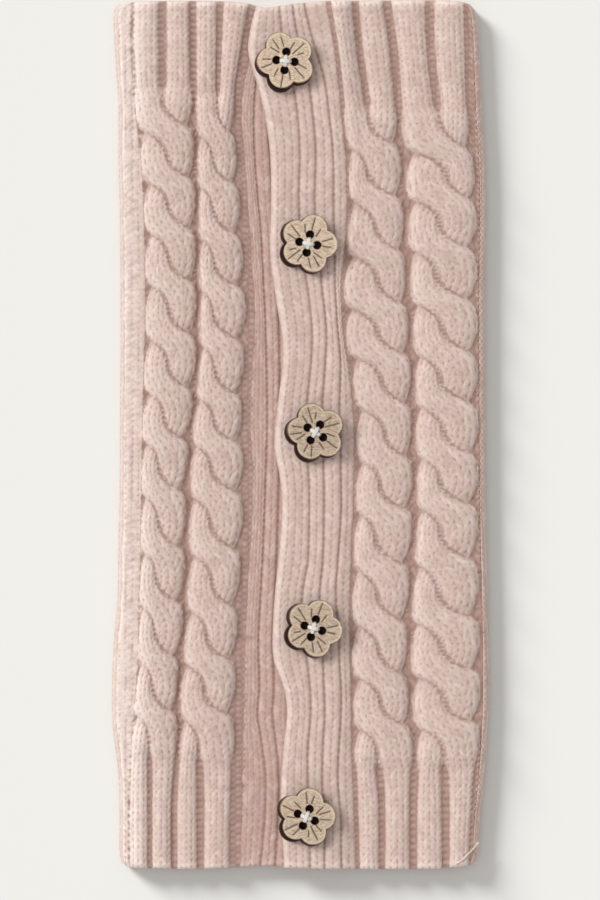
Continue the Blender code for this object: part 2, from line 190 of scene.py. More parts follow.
RIGHT_LINES = table(
    "rise inner middle_3 between middle_4 side",
    (0, 24.6, 35.2, 48.9, 63.2, 74.2),
    (30, 23.6, 35.2, 48.9, 63.0, 76.0),
    (51, 22.9, 33.2, 49.7, 62.0, 78.0),
    (73, 22.4, 35.0, 47.6, 62.6, 78.8),
    (96, 21.9, 34.1, 47.0, 61.2, 78.6),
    (119, 22.0, 33.5, 47.8, 59.7, 78.2),
    (145, 23.0, 32.4, 49.3, 60.6, 77.8),
    (167, 23.7, 34.6, 49.6, 60.4, 77.8),
    (189, 23.7, 36.8, 48.9, 62.0, 77.8),
    (212, 22.2, 35.2, 48.9, 60.3, 77.6),
    (233, 18.8, 33.6, 47.8, 61.6, 77.4),
    (256, 18.2, 33.5, 46.6, 58.8, 77.4),
    (279, 20.4, 32.4, 45.6, 60.1, 77.2),
    (301, 20.6, 29.0, 44.8, 63.4, 76.4),
    (325, 18.6, 29.6, 42.8, 60.4, 73.8),
    (355, 15.4, 25.4, 40.4, 56.4, 73.0),
    (377, 11.6, 23.6, 37.0, 56.2, 72.8),
)

CREASES = table(
    "cable_1 cable_2 cable_3 cable_4",
    (332.4, 330.0, 324.5, 323.0),
    (309.6, 307.4, 302.0, 300.5),
    (287.9, 285.8, 278.6, 279.9),
    (265.2, 262.6, 255.4, 257.4),
    (242.9, 240.7, 232.7, 234.2),
    (218.6, 215.6, 212.1, 212.5),
    (195.9, 194.3, 188.9, 190.0),
    (175.3, 174.6, 166.6, 168.1),
    (150.4, 149.9, 143.9, 146.0),
    (126.5, 124.8, 118.5, 119.6),
    (103.1, 101.0, 95.1, 96.0),
    (78.9, 78.2, 72.8, 72.8),
    (56.1, 53.9, 51.2, 50.9),
)

BAND_LINES = table(
    "rise edge valley_1 valley_2 valley_3",
    (0, -7.0, 4.3, 10.6, 18.0),
    (24, -8.4, 4.0, 10.2, 17.4),
    (39, -8.3, 3.4, 9.6, 16.4),
    (52, -7.3, 3.4, 9.9, 16.8),
    (68, -5.8, 4.6, 10.7, 17.8),
    (78, -7.0, 4.4, 10.4, 17.8),
    (91, -11.6, 3.0, 9.8, 17.0),
    (106, -11.9, 0.8, 8.8, 16.0),
    (121, -10.9, 1.2, 8.6, 15.5),
    (134, -9.6, 3.4, 9.9, 16.4),
    (155, -8.0, 4.0, 10.4, 17.8),
    (170, -8.8, 3.8, 10.3, 17.7),
    (185, -11.3, 2.6, 9.6, 17.2),
    (204, -9.6, 3.2, 9.8, 17.2),
    (220, -7.8, 4.8, 11.0, 17.6),
    (234, -8.3, 5.2, 11.4, 16.4),
    (250, -10.8, 3.6, 9.8, 15.4),
    (269, -13.2, 0.8, 7.8, 14.6),
    (290, -12.7, -0.5, 6.4, 14.6),
    (312, -13.1, -0.1, 6.8, 14.2),
    (329, -15.3, -1.2, 5.4, 12.4),
    (342, -18.6, -3.4, 3.6, 10.6),
    (355, -22.6, -6.4, 0.4, 6.8),
    (366, -21.6, -8.0, -1.8, 4.0),
    (377, -19.0, -9.0, -3.4, 1.6),
)

UNDER_BAND_LINES = table(
    "rise valley_1",
    (0, -17.2),
    (22, -15.2),
    (40, -15.0),
    (56, -16.8),
    (66, -18.4),
    (78, -17.6),
    (99, -18.0),
    (119, -17.0),
    (134, -16.2),
    (160, -15.2),
    (195, -14.2),
    (234, -14.8),
    (260, -16.0),
    (277, -16.8),
    (294, -18.4),
    (320, -20.0),
    (342, -19.2),
    (355, -16.0),
    (377, -12.8),
)

BUTTONS = table(
    "x rise spin low light",
    (-6.2, 349.9, 39, 240, 1.15),
    (3.8, 271.0, 214, 205, 1.04),
    (6.8, 189.6, 103, 220, 0.88),
    (6.0, 105.1, 209, 200, 0.91),
    (2.9, 23.6, 293, 215, 0.97),
)
print("cable crossings:", len(CREASES["cable_1"]) - 1, "on each of 4 cables")

# %% [markdown]
# Every face here is a grid of points, so the formulas work on whole arrays at once. The
# same cubic as in the solid model is read through a table's rows, for all points together.


# %% Reading the tables
def read(lines, column, at, by="rise"):
    """A table's column at each place, on a smooth curve through its rows."""
    rows = np.array(lines[by], float)
    values = np.array(lines[column], float)
    index = np.arange(len(rows))
    low = np.maximum(index - 1, 0)
    high = np.minimum(index + 1, len(rows) - 1)
    slope = (values[high] - values[low]) / (rows[high] - rows[low])
    at = np.clip(at, rows[0], rows[-1])
    row = np.clip(np.searchsorted(rows, at) - 1, 0, len(rows) - 2)
    span = rows[row + 1] - rows[row]
    t = (at - rows[row]) / span
    line = (1 + 2 * t) * (1 - t) ** 2 * values[row] + t * t * (3 - 2 * t) * values[row + 1]
    return line + span * (t * (1 - t) ** 2 * slope[row] - t * t * (1 - t) * slope[row + 1])


def smooth(t):
    """0 below 0, 1 above 1, and an even curve between."""
    t = np.clip(t, 0.0, 1.0)
    return t * t * (3 - 2 * t)


def mix(a, b, t):
    return a + (b - a) * t


def bulge(offset, fullness=2.0):
    """A round back: 1 in the middle, 0 from an offset of 1 on, and flatter if it is fuller."""
    return np.sqrt(np.maximum(1 - np.abs(offset) ** fullness, 0))


def hem_point(x, rise):
    """Y of each point, so that rise 0 and LENGTH follow the wavy hems."""
    bottom = read(HEMS, "bottom", x, by="x")
    top = read(HEMS, "top", x, by="x")
    return mix(bottom, top, rise / LENGTH) - LENGTH / 2


def lift(x):
    """How far the upper layer is raised by the under band below it."""
    return (BAND_UNDERSIDE - FRONT_UNDERSIDE) * smooth(1 - (x - UNDER_BAND_END) / COME_DOWN)


# %% Tucks in the cloth
TUCKS = table(
    "x rise slope reach depth",
    (-23.5, 99.6, -0.12, 5.5, 1.0),
    (-26.5, 34.6, 0.05, 6.5, 0.9),
    (-20.0, 150.0, 0.3, 4.0, 0.4),
)
TUCK_WIDTH = 1.3


def tuck(x, rise):
    """How deep the short cross creases beside the band lie."""
    deep = np.zeros_like(x)
    for tuck_x, tuck_rise, slope, reach, depth in zip(*TUCKS.values()):
        off = rise - tuck_rise - slope * (x - tuck_x)
        side = (x - tuck_x) / reach
        deep = deep + depth * np.exp(-((off / TUCK_WIDTH) ** 2) - side**2)
    return deep


# %% [markdown]
# The knit stitch. Seen from outside, stocking stitch is columns of V shapes: each loop shows
# two legs that lean apart towards the top. It could be a bump map, but the stitches are
# nearly as tall as they are wide and catch the light one by one, so they are raised in the
# mesh. The relief needs only two counts at each point: half stitches across, and rows along.
# The purl stitch is its back: rows of short wavy rungs, as in the gutters beside the cables.


# %% Knit and purl relief
LEG_EDGE_DEPTH = 0.42
ROW_EDGE_DEPTH = 0.33
PIT_DEPTH = 0.25
WANDERS = ((0.5, 17, 41, 0.0), (0.35, 9, -23, 1.3))


def uneven(across, along, seed):
    """An even random number from 0 to 1 for each stitch, the same at every run."""
    mixed = np.sin(np.floor(across) * 127.1 + np.floor(along) * 311.7 + seed * 74.7)
    return (mixed * 43758.5453) % 1.0


def knit(leg, row):
    """Relief of knit stitches, 1 on the legs and 0 in the pits between, and each leg's tone."""
    part = leg % 1.0
    lean = np.where(np.floor(leg) % 2 == 0, part - 0.5, 0.5 - part)
    phase = row + LEG_SLOPE * lean
    beside = np.abs(2 * part - 1)
    between = np.abs(2 * (phase % 1.0) - 1)
    pit = beside**2 * between**2
    relief = 1 - LEG_EDGE_DEPTH * beside**3 - ROW_EDGE_DEPTH * between**3 - PIT_DEPTH * pit
    return relief, uneven(leg, phase, 1)


def purl(across, row):
    """Relief of purl stitches: rows of short bumps, set like bricks."""
    phase = row + 0.5 * (np.floor(across) % 2)
    bump = np.sqrt(np.abs(np.sin(math.pi * across))) * (0.5 + 0.5 * np.cos(2 * math.pi * phase))
    return bump, uneven(across, phase + 0.5, 2)


def wander(x, rise):
    """A slow drift of the rows, in rows, because hand-laid knitting isn't square."""
    drift = np.zeros(np.broadcast(x, rise).shape)
    for size, across, along, start in WANDERS:
        drift = drift + size * np.sin(x / across + rise / along + start)
    return drift


# %% [markdown]
# Shells. A knitted panel is a thin closed wall: a fine outer face full of stitches over a
# plain inside that nobody sees. One coarse grid is extruded once, which gives both faces and
# the rim, and only the outer face's edges are subdivided. So the fine face and the coarse
# inside share one rim without a seam, and the inside costs next to nothing. The operators
# don't always list the faces in the same order, so they are sorted row by row: then the
# hairs, which grow on faces picked at random, come out the same at every run. Each point
# also keeps marks, numbers from 0 to 1 that the materials read later.

# %% Small helpers for meshes
def put(name, data):
    """An object that holds the data, at the origin of the scene."""
    made = bpy.data.objects.new(name, data)
    bpy.context.scene.collection.objects.link(made)
    return made


def mesh_of(bm, name):
    """A mesh with the faces of a bmesh, which is freed."""
    mesh = bpy.data.meshes.new(name)
    bm.to_mesh(mesh)
    bm.free()
    return mesh


def points_of(mesh):
    """The points of a mesh, one row each."""
    place = np.zeros(len(mesh.vertices) * 3, np.float32)
    mesh.vertices.foreach_get("co", place)
    return place.reshape(-1, 3)


def store(layer, field, values):
    """Writes an array into a layer of a mesh."""
    layer.foreach_set(field, values.astype(np.float32).ravel())


def keep_marks(mesh, marks):
    for mark, values in marks.items():
        store(mesh.attributes.new(mark, "FLOAT", "POINT").data, "value", values)


def triangles_in(mesh):
    return sum(len(face.vertices) - 2 for face in mesh.polygons)


# %% The shell maker
CUTS = 8
LEVELS = 10
INSIDE_MARK = 0.5
random = np.random.default_rng(7)


def panel_grid(coarse_columns, coarse_rows):
    """A closed slab whose upper face is a fine grid. Its points tell their column and row."""
    bm = bmesh.new()
    bmesh.ops.create_grid(bm, x_segments=coarse_columns, y_segments=coarse_rows, size=0.5)
    raised = bmesh.ops.extrude_face_region(bm, geom=bm.faces)["geom"]
    upper = [item for item in raised if isinstance(item, bmesh.types.BMVert)]
    edges = [item for item in raised if isinstance(item, bmesh.types.BMEdge)]
    bmesh.ops.translate(bm, vec=(0, 0, 1), verts=upper)
    bmesh.ops.subdivide_edges(bm, edges=edges, cuts=CUTS - 1, use_grid_fill=True)
    rows, columns = coarse_rows * CUTS, coarse_columns * CUTS

    def place_in_order(face):
        x, y, z = face.calc_center_median()
        row = round(z * LEVELS) * 4 * rows + round(y * 2 * rows)
        return row * 4 * columns + round(x * 2 * columns)

    bm.faces.sort(key=place_in_order)
    return bm


def shell(name, outer, inner, marks):
    """A closed shell. outer and inner hold a point in mm for each row and column."""
    rows, columns = outer.shape[0] - 1, outer.shape[1] - 1
    bm = panel_grid(columns // CUTS, rows // CUTS)
    mesh = bpy.data.meshes.new(name)
    bm.to_mesh(mesh)
    place = points_of(mesh)
    column = np.rint((place[:, 0] + 0.5) * columns).astype(int)
    row = np.rint((place[:, 1] + 0.5) * rows).astype(int)
    above = place[:, 2] > 0.5
    points = np.where(above[:, None], outer[row, column], inner[row, column]) * MM
    store(mesh.vertices, "co", points)
    bm.clear()
    bm.from_mesh(mesh)
    bmesh.ops.recalc_face_normals(bm, faces=bm.faces)
    bm.to_mesh(mesh)
    bm.free()
    on_face = {mark: np.where(above, v[row, column], INSIDE_MARK) for mark, v in marks.items()}
    keep_marks(mesh, on_face)
    mesh.shade_smooth()
    print(f"{name}: {triangles_in(mesh)} triangles")
    return put(name, mesh)


# %% Rows, columns, rims and normals of a grid of points
def rows_of_points(count, roll, arc_rows):
    """Rises of the rows of points, closer together where the hems roll over."""
    arc = roll * (1 - np.cos(np.linspace(0, math.pi / 2, arc_rows + 1)))
    middle = np.linspace(roll, LENGTH - roll, count - 2 * arc_rows + 1)
    return np.concatenate([arc[:-1], middle, LENGTH - arc[-2::-1]])


def columns_of_points(lines, counts):
    """X of every point: each stretch between two lines is cut into its count."""
    parts = [lines[0][:, None]]
    for start, end, count in zip(lines, lines[1:], counts):
        share = np.arange(1, count + 1) / count
        parts.append(start[:, None] + (end - start)[:, None] * share)
    return np.hstack(parts)


def rim(away, radius):
    """How full a rolled edge is at a distance from it: 0 at the edge, 1 from its radius on."""
    return np.sqrt(1 - (1 - np.clip(away / radius, 0, 1)) ** 2) if radius else 1.0


def normals_of(points):
    """The direction that each point of a grid faces."""
    along = np.gradient(points, axis=0)
    across = np.gradient(points, axis=1)
    normal = np.cross(across, along)
    return normal / np.maximum(np.linalg.norm(normal, axis=2, keepdims=True), 1e-9)


def blurred(values, reach):
    """Each value averaged with those around it."""
    width = 2 * reach + 1
    for axis in (0, 1):
        pads = [(reach, reach) if side == axis else (0, 0) for side in (0, 1)]
        total = np.cumsum(np.pad(values, pads, mode="edge"), axis=axis)
        total = np.insert(total, 0, 0, axis=axis)
        count = total.shape[axis]
        upper = np.take(total, range(width, count), axis=axis)
        values = (upper - np.take(total, range(count - width), axis=axis)) / width
    return values


def hollow_shading(height, reach, depth):
    """Painted shading: towards 1, for painted shade, where a face lies deep between its neighbours,
    and towards 0, for painted light, where it stands clear.
    """
    return np.clip(0.5 + (blurred(height, reach) - height) / depth, 0, 1)


# %% [markdown]
# The cables. A rope cable is four stitches: two strands of two stitches each that change
# sides at every crossing. Each strand is a round ridge whose middle line swings from side to
# side as a cosine, and the other strand swings the opposite way. The one that runs from
# upper left to lower right is lifted over the other. Whichever ridge is higher shows, which
# gives the S-shaped lobes and the hooked creases between them with no drawing by hand. The
# stitches follow the strand that shows: they are counted across it and along it. Where one
# strand goes under the other, a groove is pressed in, deepest near the cable's middle.

# %% Relief of the cables
POINT_STEP = 0.53
STRAND_FULLNESS = 2.2
DIVE = 0.2
LIFT_FADE = 0.5
CORNER_ROUND = 0.3
BRUSHED_OUT = 0.03
RIB_SLIMMER = 0.055
LEG_ON_STRAND = 2.45
LEG_SHIFT = 8
GROOVE_DEPTH = 0.65
GROOVE_WIDTH = 1.0
GROOVE_MIDDLE = 0.1
GROOVE_SPREAD = 0.6
GROOVE_AT_SIDES = 0.3
OVERLAP_HEIGHT = 0.6
LEAST_STEEPNESS = 0.3
PURL_BELOW = 0.8


def sway(turn):
    """Where a strand's middle line lies from side (1) to side (-1), and its slant there."""
    side = np.cos(turn) * (1 + HASTE * np.sin(turn) ** 2)
    slant = np.sin(turn) * (1 + HASTE * (1 - 3 * np.cos(turn) ** 2))
    return side, slant


def strands(x, left, middle, right, creases, rise):
    """Height of a cable above its purl ground, its stitch counts, and how purl it is."""
    half = (right - left) / 2
    side = np.where(x < middle, middle - left, right - middle)
    across = (x - middle) / side * half
    turn = math.pi * np.interp(rise, creases[::-1], range(len(creases)))
    from_cable = np.maximum(creases[-1] - rise, rise - creases[0])
    body = 1 - smooth(from_cable / CUFF_BLEND)
    strand_rise = mix(CUFF_RIB_RISE, CABLE_RISE, body)
    swing_share = mix(RIB_SWING, STRAND_SWING, body)
    swing = swing_share * half
    crossing_length = (creases[0] - creases[-1]) / (len(creases) - 1)
    side_share, slant_share = sway(turn)
    slant = swing * math.pi / crossing_length * slant_share
    stretch = np.sqrt(1 + slant**2)
    found = []
    for way in (1, -1):
        over = way * np.sin(turn) * body
        swung = swing_share * np.hypot(side_share, CORNER_ROUND * body)
        reach = (CABLE_REACH + mix(-RIB_SLIMMER, BRUSHED_OUT, body) - swung) * half
        reach = reach * (1 + DIVE * np.minimum(over, 0))
        away = across - way * swing * side_share
        back = strand_rise * bulge(away / reach, STRAND_FULLNESS)
        leg = away / stretch / LEG_ON_STRAND + LEG_SHIFT
        row = (rise - way * slant * away / stretch**2) / ROW
        height = back + CROSSING_LIFT * over * (1 - LIFT_FADE * (across / half) ** 2)
        found.append((np.where(np.abs(away) < reach, height, 0), leg, row))
    (first, first_leg, first_row), (second, second_leg, second_row) = found
    showing = first >= second
    height = np.maximum(np.maximum(first, second), 0)
    both = smooth(np.minimum(first, second) / OVERLAP_HEIGHT)
    steep = np.hypot(np.gradient(first - second, axis=1), np.gradient(first - second, axis=0))
    nearness = np.abs(first - second) / np.maximum(steep / POINT_STEP, LEAST_STEEPNESS)
    groove = both * np.exp(-((nearness / GROOVE_WIDTH) ** 2))
    leg = np.where(showing, first_leg, second_leg + 2 * LEG_SHIFT)
    row = np.where(showing, first_row, second_row)
    middle_part = np.exp(-(((across / half - GROOVE_MIDDLE) / GROOVE_SPREAD) ** 4))
    groove = groove * mix(GROOVE_AT_SIDES, 1, middle_part)
    return height, leg, row, 1 - smooth(height / PURL_BELOW), groove


# %% [markdown]
# A front is two cables with purl gutters beside them. In the cuffs the cables run out into
# four ribs of two stitches each. The panel is knitted in one, so it is one shell. Where a
# panel is sewn to its neighbour, its edge runs a little way into it, so no gap shows.
#
# Three marks are kept for the wool: painted shading from how deep a point lies between its
# neighbours, painted shade from how deep it lies in a gap of the stitches, and the tone of
# its stitch. The first gives painted shade in hollows and the purl, and painted light where
# the face stands clear and along the left edge. Dark dashes of painted shade are added to
# it: in the grooves, down the middle of each front, at the right seam and in a faint dotted
# column of purl stitches beside the left seam.

# %% Fronts
FRONT_ROWS = 88 * CUTS
HEM_ROLL = 2.4
HEM_ARC_ROWS = 6
SEWN_EDGE = 0
SEWN_EDGES = (SEWN_EDGE, SEWN_EDGE)
SEAM_TUCK = 0.8
SEAM_RISE = 0.55
SEAM_SLOPE = 1.6
SEAM_DIVE = 0.4
SEAM_SINK = 0.15
JOINT_TUCK = 1.1
SOFTENINGS = 4
RIM_FOOT = 0.22
KNIT_RELIEF = 0.62
BAND_RELIEF = 0.45
PURL_RELIEF = 0.32
KNIT_BASE = 0.7
PURL_BASE = 0.5
PURL_GAP = 0.75
FUZZ_RELIEF = 0.05
LUMP_RELIEF = 0.1
INNER_INSET = 0.5
EDGE_COLUMNS = CUTS
CABLE_COLUMNS = 7 * CUTS
JOINT_COLUMNS = CUTS
# Painted shading of the wool: shade in hollows, grooves and the purl, light on raised faces.
SHADING_REACH = 5
SHADING_DEPTH = 3.2
GROOVE_SHADE_PAINT = 0.75
GUTTER_SHADE = 0.36
DASH_DEPTH = 0.45
SEAM_LINE_PLACE = 0.35
SEAM_LINE_WIDTH = 0.7
SEAM_LINE = 1.9
BETWEEN_WIDTH = 1.3
LEFT_BETWEEN_LINE = 0.9
RIGHT_BETWEEN_LINE = 0.54
# Painted light along the left edge, which faces the light.
PAINTED_LIGHT_TO = 74
PAINTED_LIGHT_BLEND = 10
EDGE_PAINTED_LIGHT = 0.15
EDGE_FILL = 1.0
FILL_RISE = 2.0
FILL_FALL = 3.0
EDGE_PURL = 0.15
DOTTED_PURL = 0.3
DOTTED_X = -73.2
DOTTED_WIDTH = 2.2
SPECK_SIZE = 1.15
SPECK_SHARE = 0.4
SPECK_PAINT = 0.95
SPECK_SEED = 5
FINE_UNEVEN = 0.2
COARSE_UNEVEN = 0.1
GAP_UNEVEN = 0.1


def seam_level(away):
    """How far a front's edge rises to meet the folded back, and dives into it at the seam."""
    meet = SEAM_RISE * smooth(1 - (away - SEAM_TUCK) / SEAM_SLOPE)
    return meet - (SEAM_RISE + SEAM_SINK) * smooth(1 - away / SEAM_DIVE)


def edge_fill(x, edge, side):
    """The soft low mound between a seam and the first cable, which runs out under it."""
    rising = smooth((x - edge[:, None]) / FILL_RISE)
    return EDGE_FILL * rising * smooth(1 - (x - side[:, None]) / FILL_FALL)


def front_relief(lines, names, cables, x, rise):
    """Height above the purl ground, stitch counts, purl share and groove of a front."""
    columns = [read(lines, name, rise) for name in names]
    height = np.zeros_like(x)
    leg = np.zeros_like(x)
    row = rise / ROW
    is_purl = np.ones_like(x)
    groove = np.zeros_like(x)
    for index, cable in enumerate(cables):
        left, middle, right = columns[2 * index : 2 * index + 3]
        inside = (x > left) & (x < right)
        found = strands(x, left, middle, right, CREASES[cable], rise)
        height, leg, row, is_purl, groove = (
            np.where(inside, new, old)
            for new, old in zip(found, (height, leg, row, is_purl, groove))
        )
    return height, leg, row, is_purl, groove


def fuzzy(shape, reach):
    """Uneven random bumps, mostly between -1 and 1, as wide as the reach in points."""
    noise = blurred(random.normal(size=shape), reach)
    return noise / noise.std() / 2


def inside_points(x, rise, under):
    """The plain inside of a panel, a little smaller than its face."""
    rise = np.clip(rise, INNER_INSET, LENGTH - INNER_INSET)
    return np.stack([x, hem_point(x, rise), under], axis=2)


def dress(name, x, rise, level, under, relief, side_rolls, knit_relief):
    """A knitted panel: its base form, rolled edges, raised stitches, and its marks of painted light
    and shade and of stitch tone.
    """
    height, leg, row, is_purl, groove = relief
    from_hem = np.minimum(rise, LENGTH - rise)
    left_roll, right_roll = side_rolls
    full = rim(from_hem, HEM_ROLL) * rim(x - x[:, :1], left_roll) * rim(x[:, -1:] - x, right_roll)
    full = np.broadcast_to(full, x.shape)
    for _ in range(SOFTENINGS):
        height = blurred(height, 1)
    drift = wander(x, rise)
    groove = groove * (1 - DASH_DEPTH + DASH_DEPTH * np.cos(2 * math.pi * (row + drift)))
    wall = level + height - tuck(x, rise) - GROOVE_DEPTH * groove - under
    form = under + wall * (RIM_FOOT + (1 - RIM_FOOT) * full)
    points = np.stack([x, hem_point(x, rise), form], axis=2)
    knit_height, knit_tone = knit(leg, row + drift)
    purl_height, purl_tone = purl(x / LEG, row + drift)
    knit_raised = knit_relief * (knit_height - KNIT_BASE)
    raised = mix(knit_raised, PURL_RELIEF * (purl_height - PURL_BASE), is_purl)
    raised += FUZZ_RELIEF * fuzzy(x.shape, 1) + LUMP_RELIEF * fuzzy(x.shape, 4)
    outer = points + normals_of(points) * (raised * full)[:, :, None]
    middle_x = x.mean(axis=1, keepdims=True)
    half = np.abs(x - middle_x).max(axis=1, keepdims=True)
    inner = inside_points(middle_x + (x - middle_x) * (1 - INNER_INSET / half), rise, under)
    # Painted shade in hollows and grooves, and painted light on raised faces.
    painted_shading = hollow_shading(form, SHADING_REACH, SHADING_DEPTH) + GROOVE_SHADE_PAINT * groove
    # Painted shade in the purl, and painted light along the left edge, which faces the light.
    painted_shading = mix(EDGE_PAINTED_LIGHT, painted_shading + GUTTER_SHADE * is_purl, smooth((x + PAINTED_LIGHT_TO) / PAINTED_LIGHT_BLEND))
    specks = uneven(x / SPECK_SIZE, rise / SPECK_SIZE, SPECK_SEED) < SPECK_SHARE
    painted_shading = painted_shading + SPECK_PAINT * is_purl * blurred(specks.astype(float), 1)
    # Painted shade in the gaps between the stitches.
    gap_shading = 1 - mix(knit_height, 1 - PURL_GAP + PURL_GAP * purl_height, is_purl)
    tone = mix(knit_tone, purl_tone, is_purl)
    tone += FINE_UNEVEN * fuzzy(x.shape, 1) + COARSE_UNEVEN * fuzzy(x.shape, 3)
    marks = {"painted_shading": painted_shading, "gap_shading": gap_shading + GAP_UNEVEN * fuzzy(x.shape, 1), "tone": tone}
    return shell(name, outer, inner, {mark: np.clip(v, 0, 1) for mark, v in marks.items()})


front_rise = rows_of_points(FRONT_ROWS, HEM_ROLL, HEM_ARC_ROWS)
LEFT_NAMES = ("side", "middle_1", "between", "middle_2", "inner")
RIGHT_NAMES = ("inner", "middle_3", "between", "middle_4", "side")


def dark_line(away, width):
    """1 on a line and 0 beside it, with soft edges."""
    return np.exp(-((away / width) ** 2))


def make_left_front():
    seam = read(OUTLINE, "left", front_rise) + SEAM_INSET - SEAM_TUCK
    side, _, between, _, inner = (read(LEFT_LINES, name, front_rise) for name in LEFT_NAMES)
    side = np.maximum(side, seam + LEAST_EDGE)
    lines = [seam, side, between, inner, inner + JOINT_OFFSET + JOINT_TUCK]
    x = columns_of_points(lines, (EDGE_COLUMNS, CABLE_COLUMNS, CABLE_COLUMNS, JOINT_COLUMNS))
    rise = np.broadcast_to(front_rise[:, None], x.shape)
    relief = front_relief(LEFT_LINES, LEFT_NAMES, ("cable_1", "cable_2"), x, rise)
    height, leg, row, is_purl, groove = relief
    beyond = x <= side[:, None]
    dotted = DOTTED_PURL * dark_line(x - DOTTED_X, DOTTED_WIDTH)
    is_purl = np.where(beyond, EDGE_PURL + dotted, is_purl)
    # A groove down the gutter between the cables, carved and darkened with painted shade.
    line = LEFT_BETWEEN_LINE * dark_line(x - between[:, None], BETWEEN_WIDTH)
    groove = np.maximum(groove, line)
    relief = (height, np.where(beyond, x / LEG, leg), row, is_purl, groove)
    under = np.full_like(x, FRONT_UNDERSIDE)
    level = PURL_LEVEL + seam_level(x - x[:, :1]) + edge_fill(x, seam, side)
    return dress("knitted_left_front", x, rise, level, under, relief, SEWN_EDGES, KNIT_RELIEF)


def make_right_front():
    seam = read(OUTLINE, "right", front_rise) - SEAM_INSET + SEAM_TUCK
    inner, _, between, _, side = (read(RIGHT_LINES, name, front_rise) for name in RIGHT_NAMES)
    lines = [inner - JOINT_TUCK, between, np.minimum(side, seam - LEAST_EDGE), seam]
    x = columns_of_points(lines, (CABLE_COLUMNS, CABLE_COLUMNS, EDGE_COLUMNS))
    rise = np.broadcast_to(front_rise[:, None], x.shape)
    relief = front_relief(RIGHT_LINES, RIGHT_NAMES, ("cable_3", "cable_4"), x, rise)
    line = RIGHT_BETWEEN_LINE * dark_line(x - between[:, None], BETWEEN_WIDTH)
    # A groove along the right seam, carved and darkened with painted shade.
    seam_line = SEAM_LINE * dark_line(x[:, -1:] - x - SEAM_LINE_PLACE, SEAM_LINE_WIDTH)
    relief = (*relief[:4], np.maximum(np.maximum(relief[4], line), seam_line))
    under = FRONT_UNDERSIDE + lift(x)
    level = PURL_LEVEL + lift(x) + seam_level(x[:, -1:] - x)
    return dress("knitted_right_front", x, rise, level, under, relief, SEWN_EDGES, KNIT_RELIEF)


left_front = make_left_front()
right_front = make_right_front()

# %% [markdown]
# The bands. A ribbed band is knit one, purl one: single columns of V stitches, with the purl
# stitches hidden in the dark valleys between. Only the under band's rib at its joint is two
# columns wide. The button band's free edge rolls over as a smooth tube. Where a button is
# sewn on, it pulls the band down, so the face is dented there.

# %% Bands
BAND_RISE_LEGS = 2
JOINED_RIB_LEGS = 4
EDGE_ROLL_LEGS = 4
BAND_EDGE_ROLL = 3.0
UNDER_BAND_ROLL = 1.2
VALLEY_WIDTH = 0.55
BAND_FULLNESS = 3.0
BAND_SHARE = 0.75
SHOWN_COLUMNS = (2 * CUTS, 2 * CUTS)
HIDDEN_COLUMNS = 3 * CUTS


def ribs(x, rise, valleys, legs):
    """Height, stitch counts, purl share and groove of single ribs between valleys."""
    height = np.zeros_like(x)
    leg = np.zeros_like(x)
    groove = np.zeros_like(x)
    start = 0
    for left, right, count in zip(valleys, valleys[1:], legs):
        share = (x - left) / (right - left)
        inside = (share >= 0) & (share <= 1)
        rib = BAND_SHARE * BAND_RIB_RISE * bulge(2 * share - 1, BAND_FULLNESS)
        height = np.where(inside, rib, height)
        leg = np.where(inside, start + share * count, leg)
        start += count
    # The valleys are grooves, carved and darkened with painted shade.
    for valley in valleys[1:]:
        groove = np.maximum(groove, dark_line(x - valley, VALLEY_WIDTH))
    return height, leg, rise / ROW, np.zeros_like(x), groove


def dent(x, rise):
    """How far the buttons press into the band."""
    deepest = np.zeros_like(x)
    for button_x, button_rise in zip(BUTTONS["x"], BUTTONS["rise"]):
        away = np.hypot(x - button_x, rise - button_rise)
        deepest = np.maximum(deepest, BUTTON_DENT * dark_line(away, BUTTON_DENT_REACH))
    return deepest


def make_button_band():
    names = ("edge", "valley_1", "valley_2", "valley_3")
    joint = read(RIGHT_LINES, "inner", front_rise)
    valleys = [read(BAND_LINES, name, front_rise) for name in names] + [joint]
    lines = [*valleys[:-1], joint - GAP]
    x = columns_of_points(lines, (3 * CUTS, 2 * CUTS, 2 * CUTS, 2 * CUTS))
    rise = np.broadcast_to(front_rise[:, None], x.shape)
    legs = (EDGE_ROLL_LEGS, BAND_RISE_LEGS, BAND_RISE_LEGS, BAND_RISE_LEGS)
    relief = ribs(x, rise, [line[:, None] for line in valleys], legs)
    under = FRONT_UNDERSIDE + lift(x)
    level = under + BAND_WALL - dent(x, rise)
    rolls = (BAND_EDGE_ROLL, SEWN_EDGE)
    return dress("knitted_button_band", x, rise, level, under, relief, rolls, BAND_RELIEF)


def make_under_band():
    joint = read(LEFT_LINES, "inner", front_rise) + JOINT_OFFSET
    first = read(UNDER_BAND_LINES, "valley_1", front_rise)
    width = (UNDER_BAND_END - first) / UNDER_BAND_RIBS
    valleys = [joint] + [first + width * index for index in range(UNDER_BAND_RIBS + 1)]
    x = columns_of_points([*valleys[:3], valleys[-1]], (*SHOWN_COLUMNS, HIDDEN_COLUMNS))
    rise = np.broadcast_to(front_rise[:, None], x.shape)
    legs = [JOINED_RIB_LEGS] + [BAND_RISE_LEGS] * UNDER_BAND_RIBS
    relief = ribs(x, rise, [line[:, None] for line in valleys], legs)
    under = np.full_like(x, FRONT_UNDERSIDE)
    level = UNDER_BAND_LEVEL
    rolls = (SEWN_EDGE, UNDER_BAND_ROLL)
    return dress("knitted_under_band", x, rise, level, under, relief, rolls, BAND_RELIEF)


button_band = make_button_band()
under_band = make_under_band()

# %% [markdown]
# The back. It lies flat under everything, and its sides are folded round to the front, so
# only the two folds show. It is one shell too: its outer face runs from one side seam round
# the fold, across the underside and round the other fold. The stitches on the underside are
# pressed flat against the table, so they go inwards from it and never below it. The folds
# get painted shade towards the floor, and the right fold shows the stitches of its seam as
# dashes of painted shade.

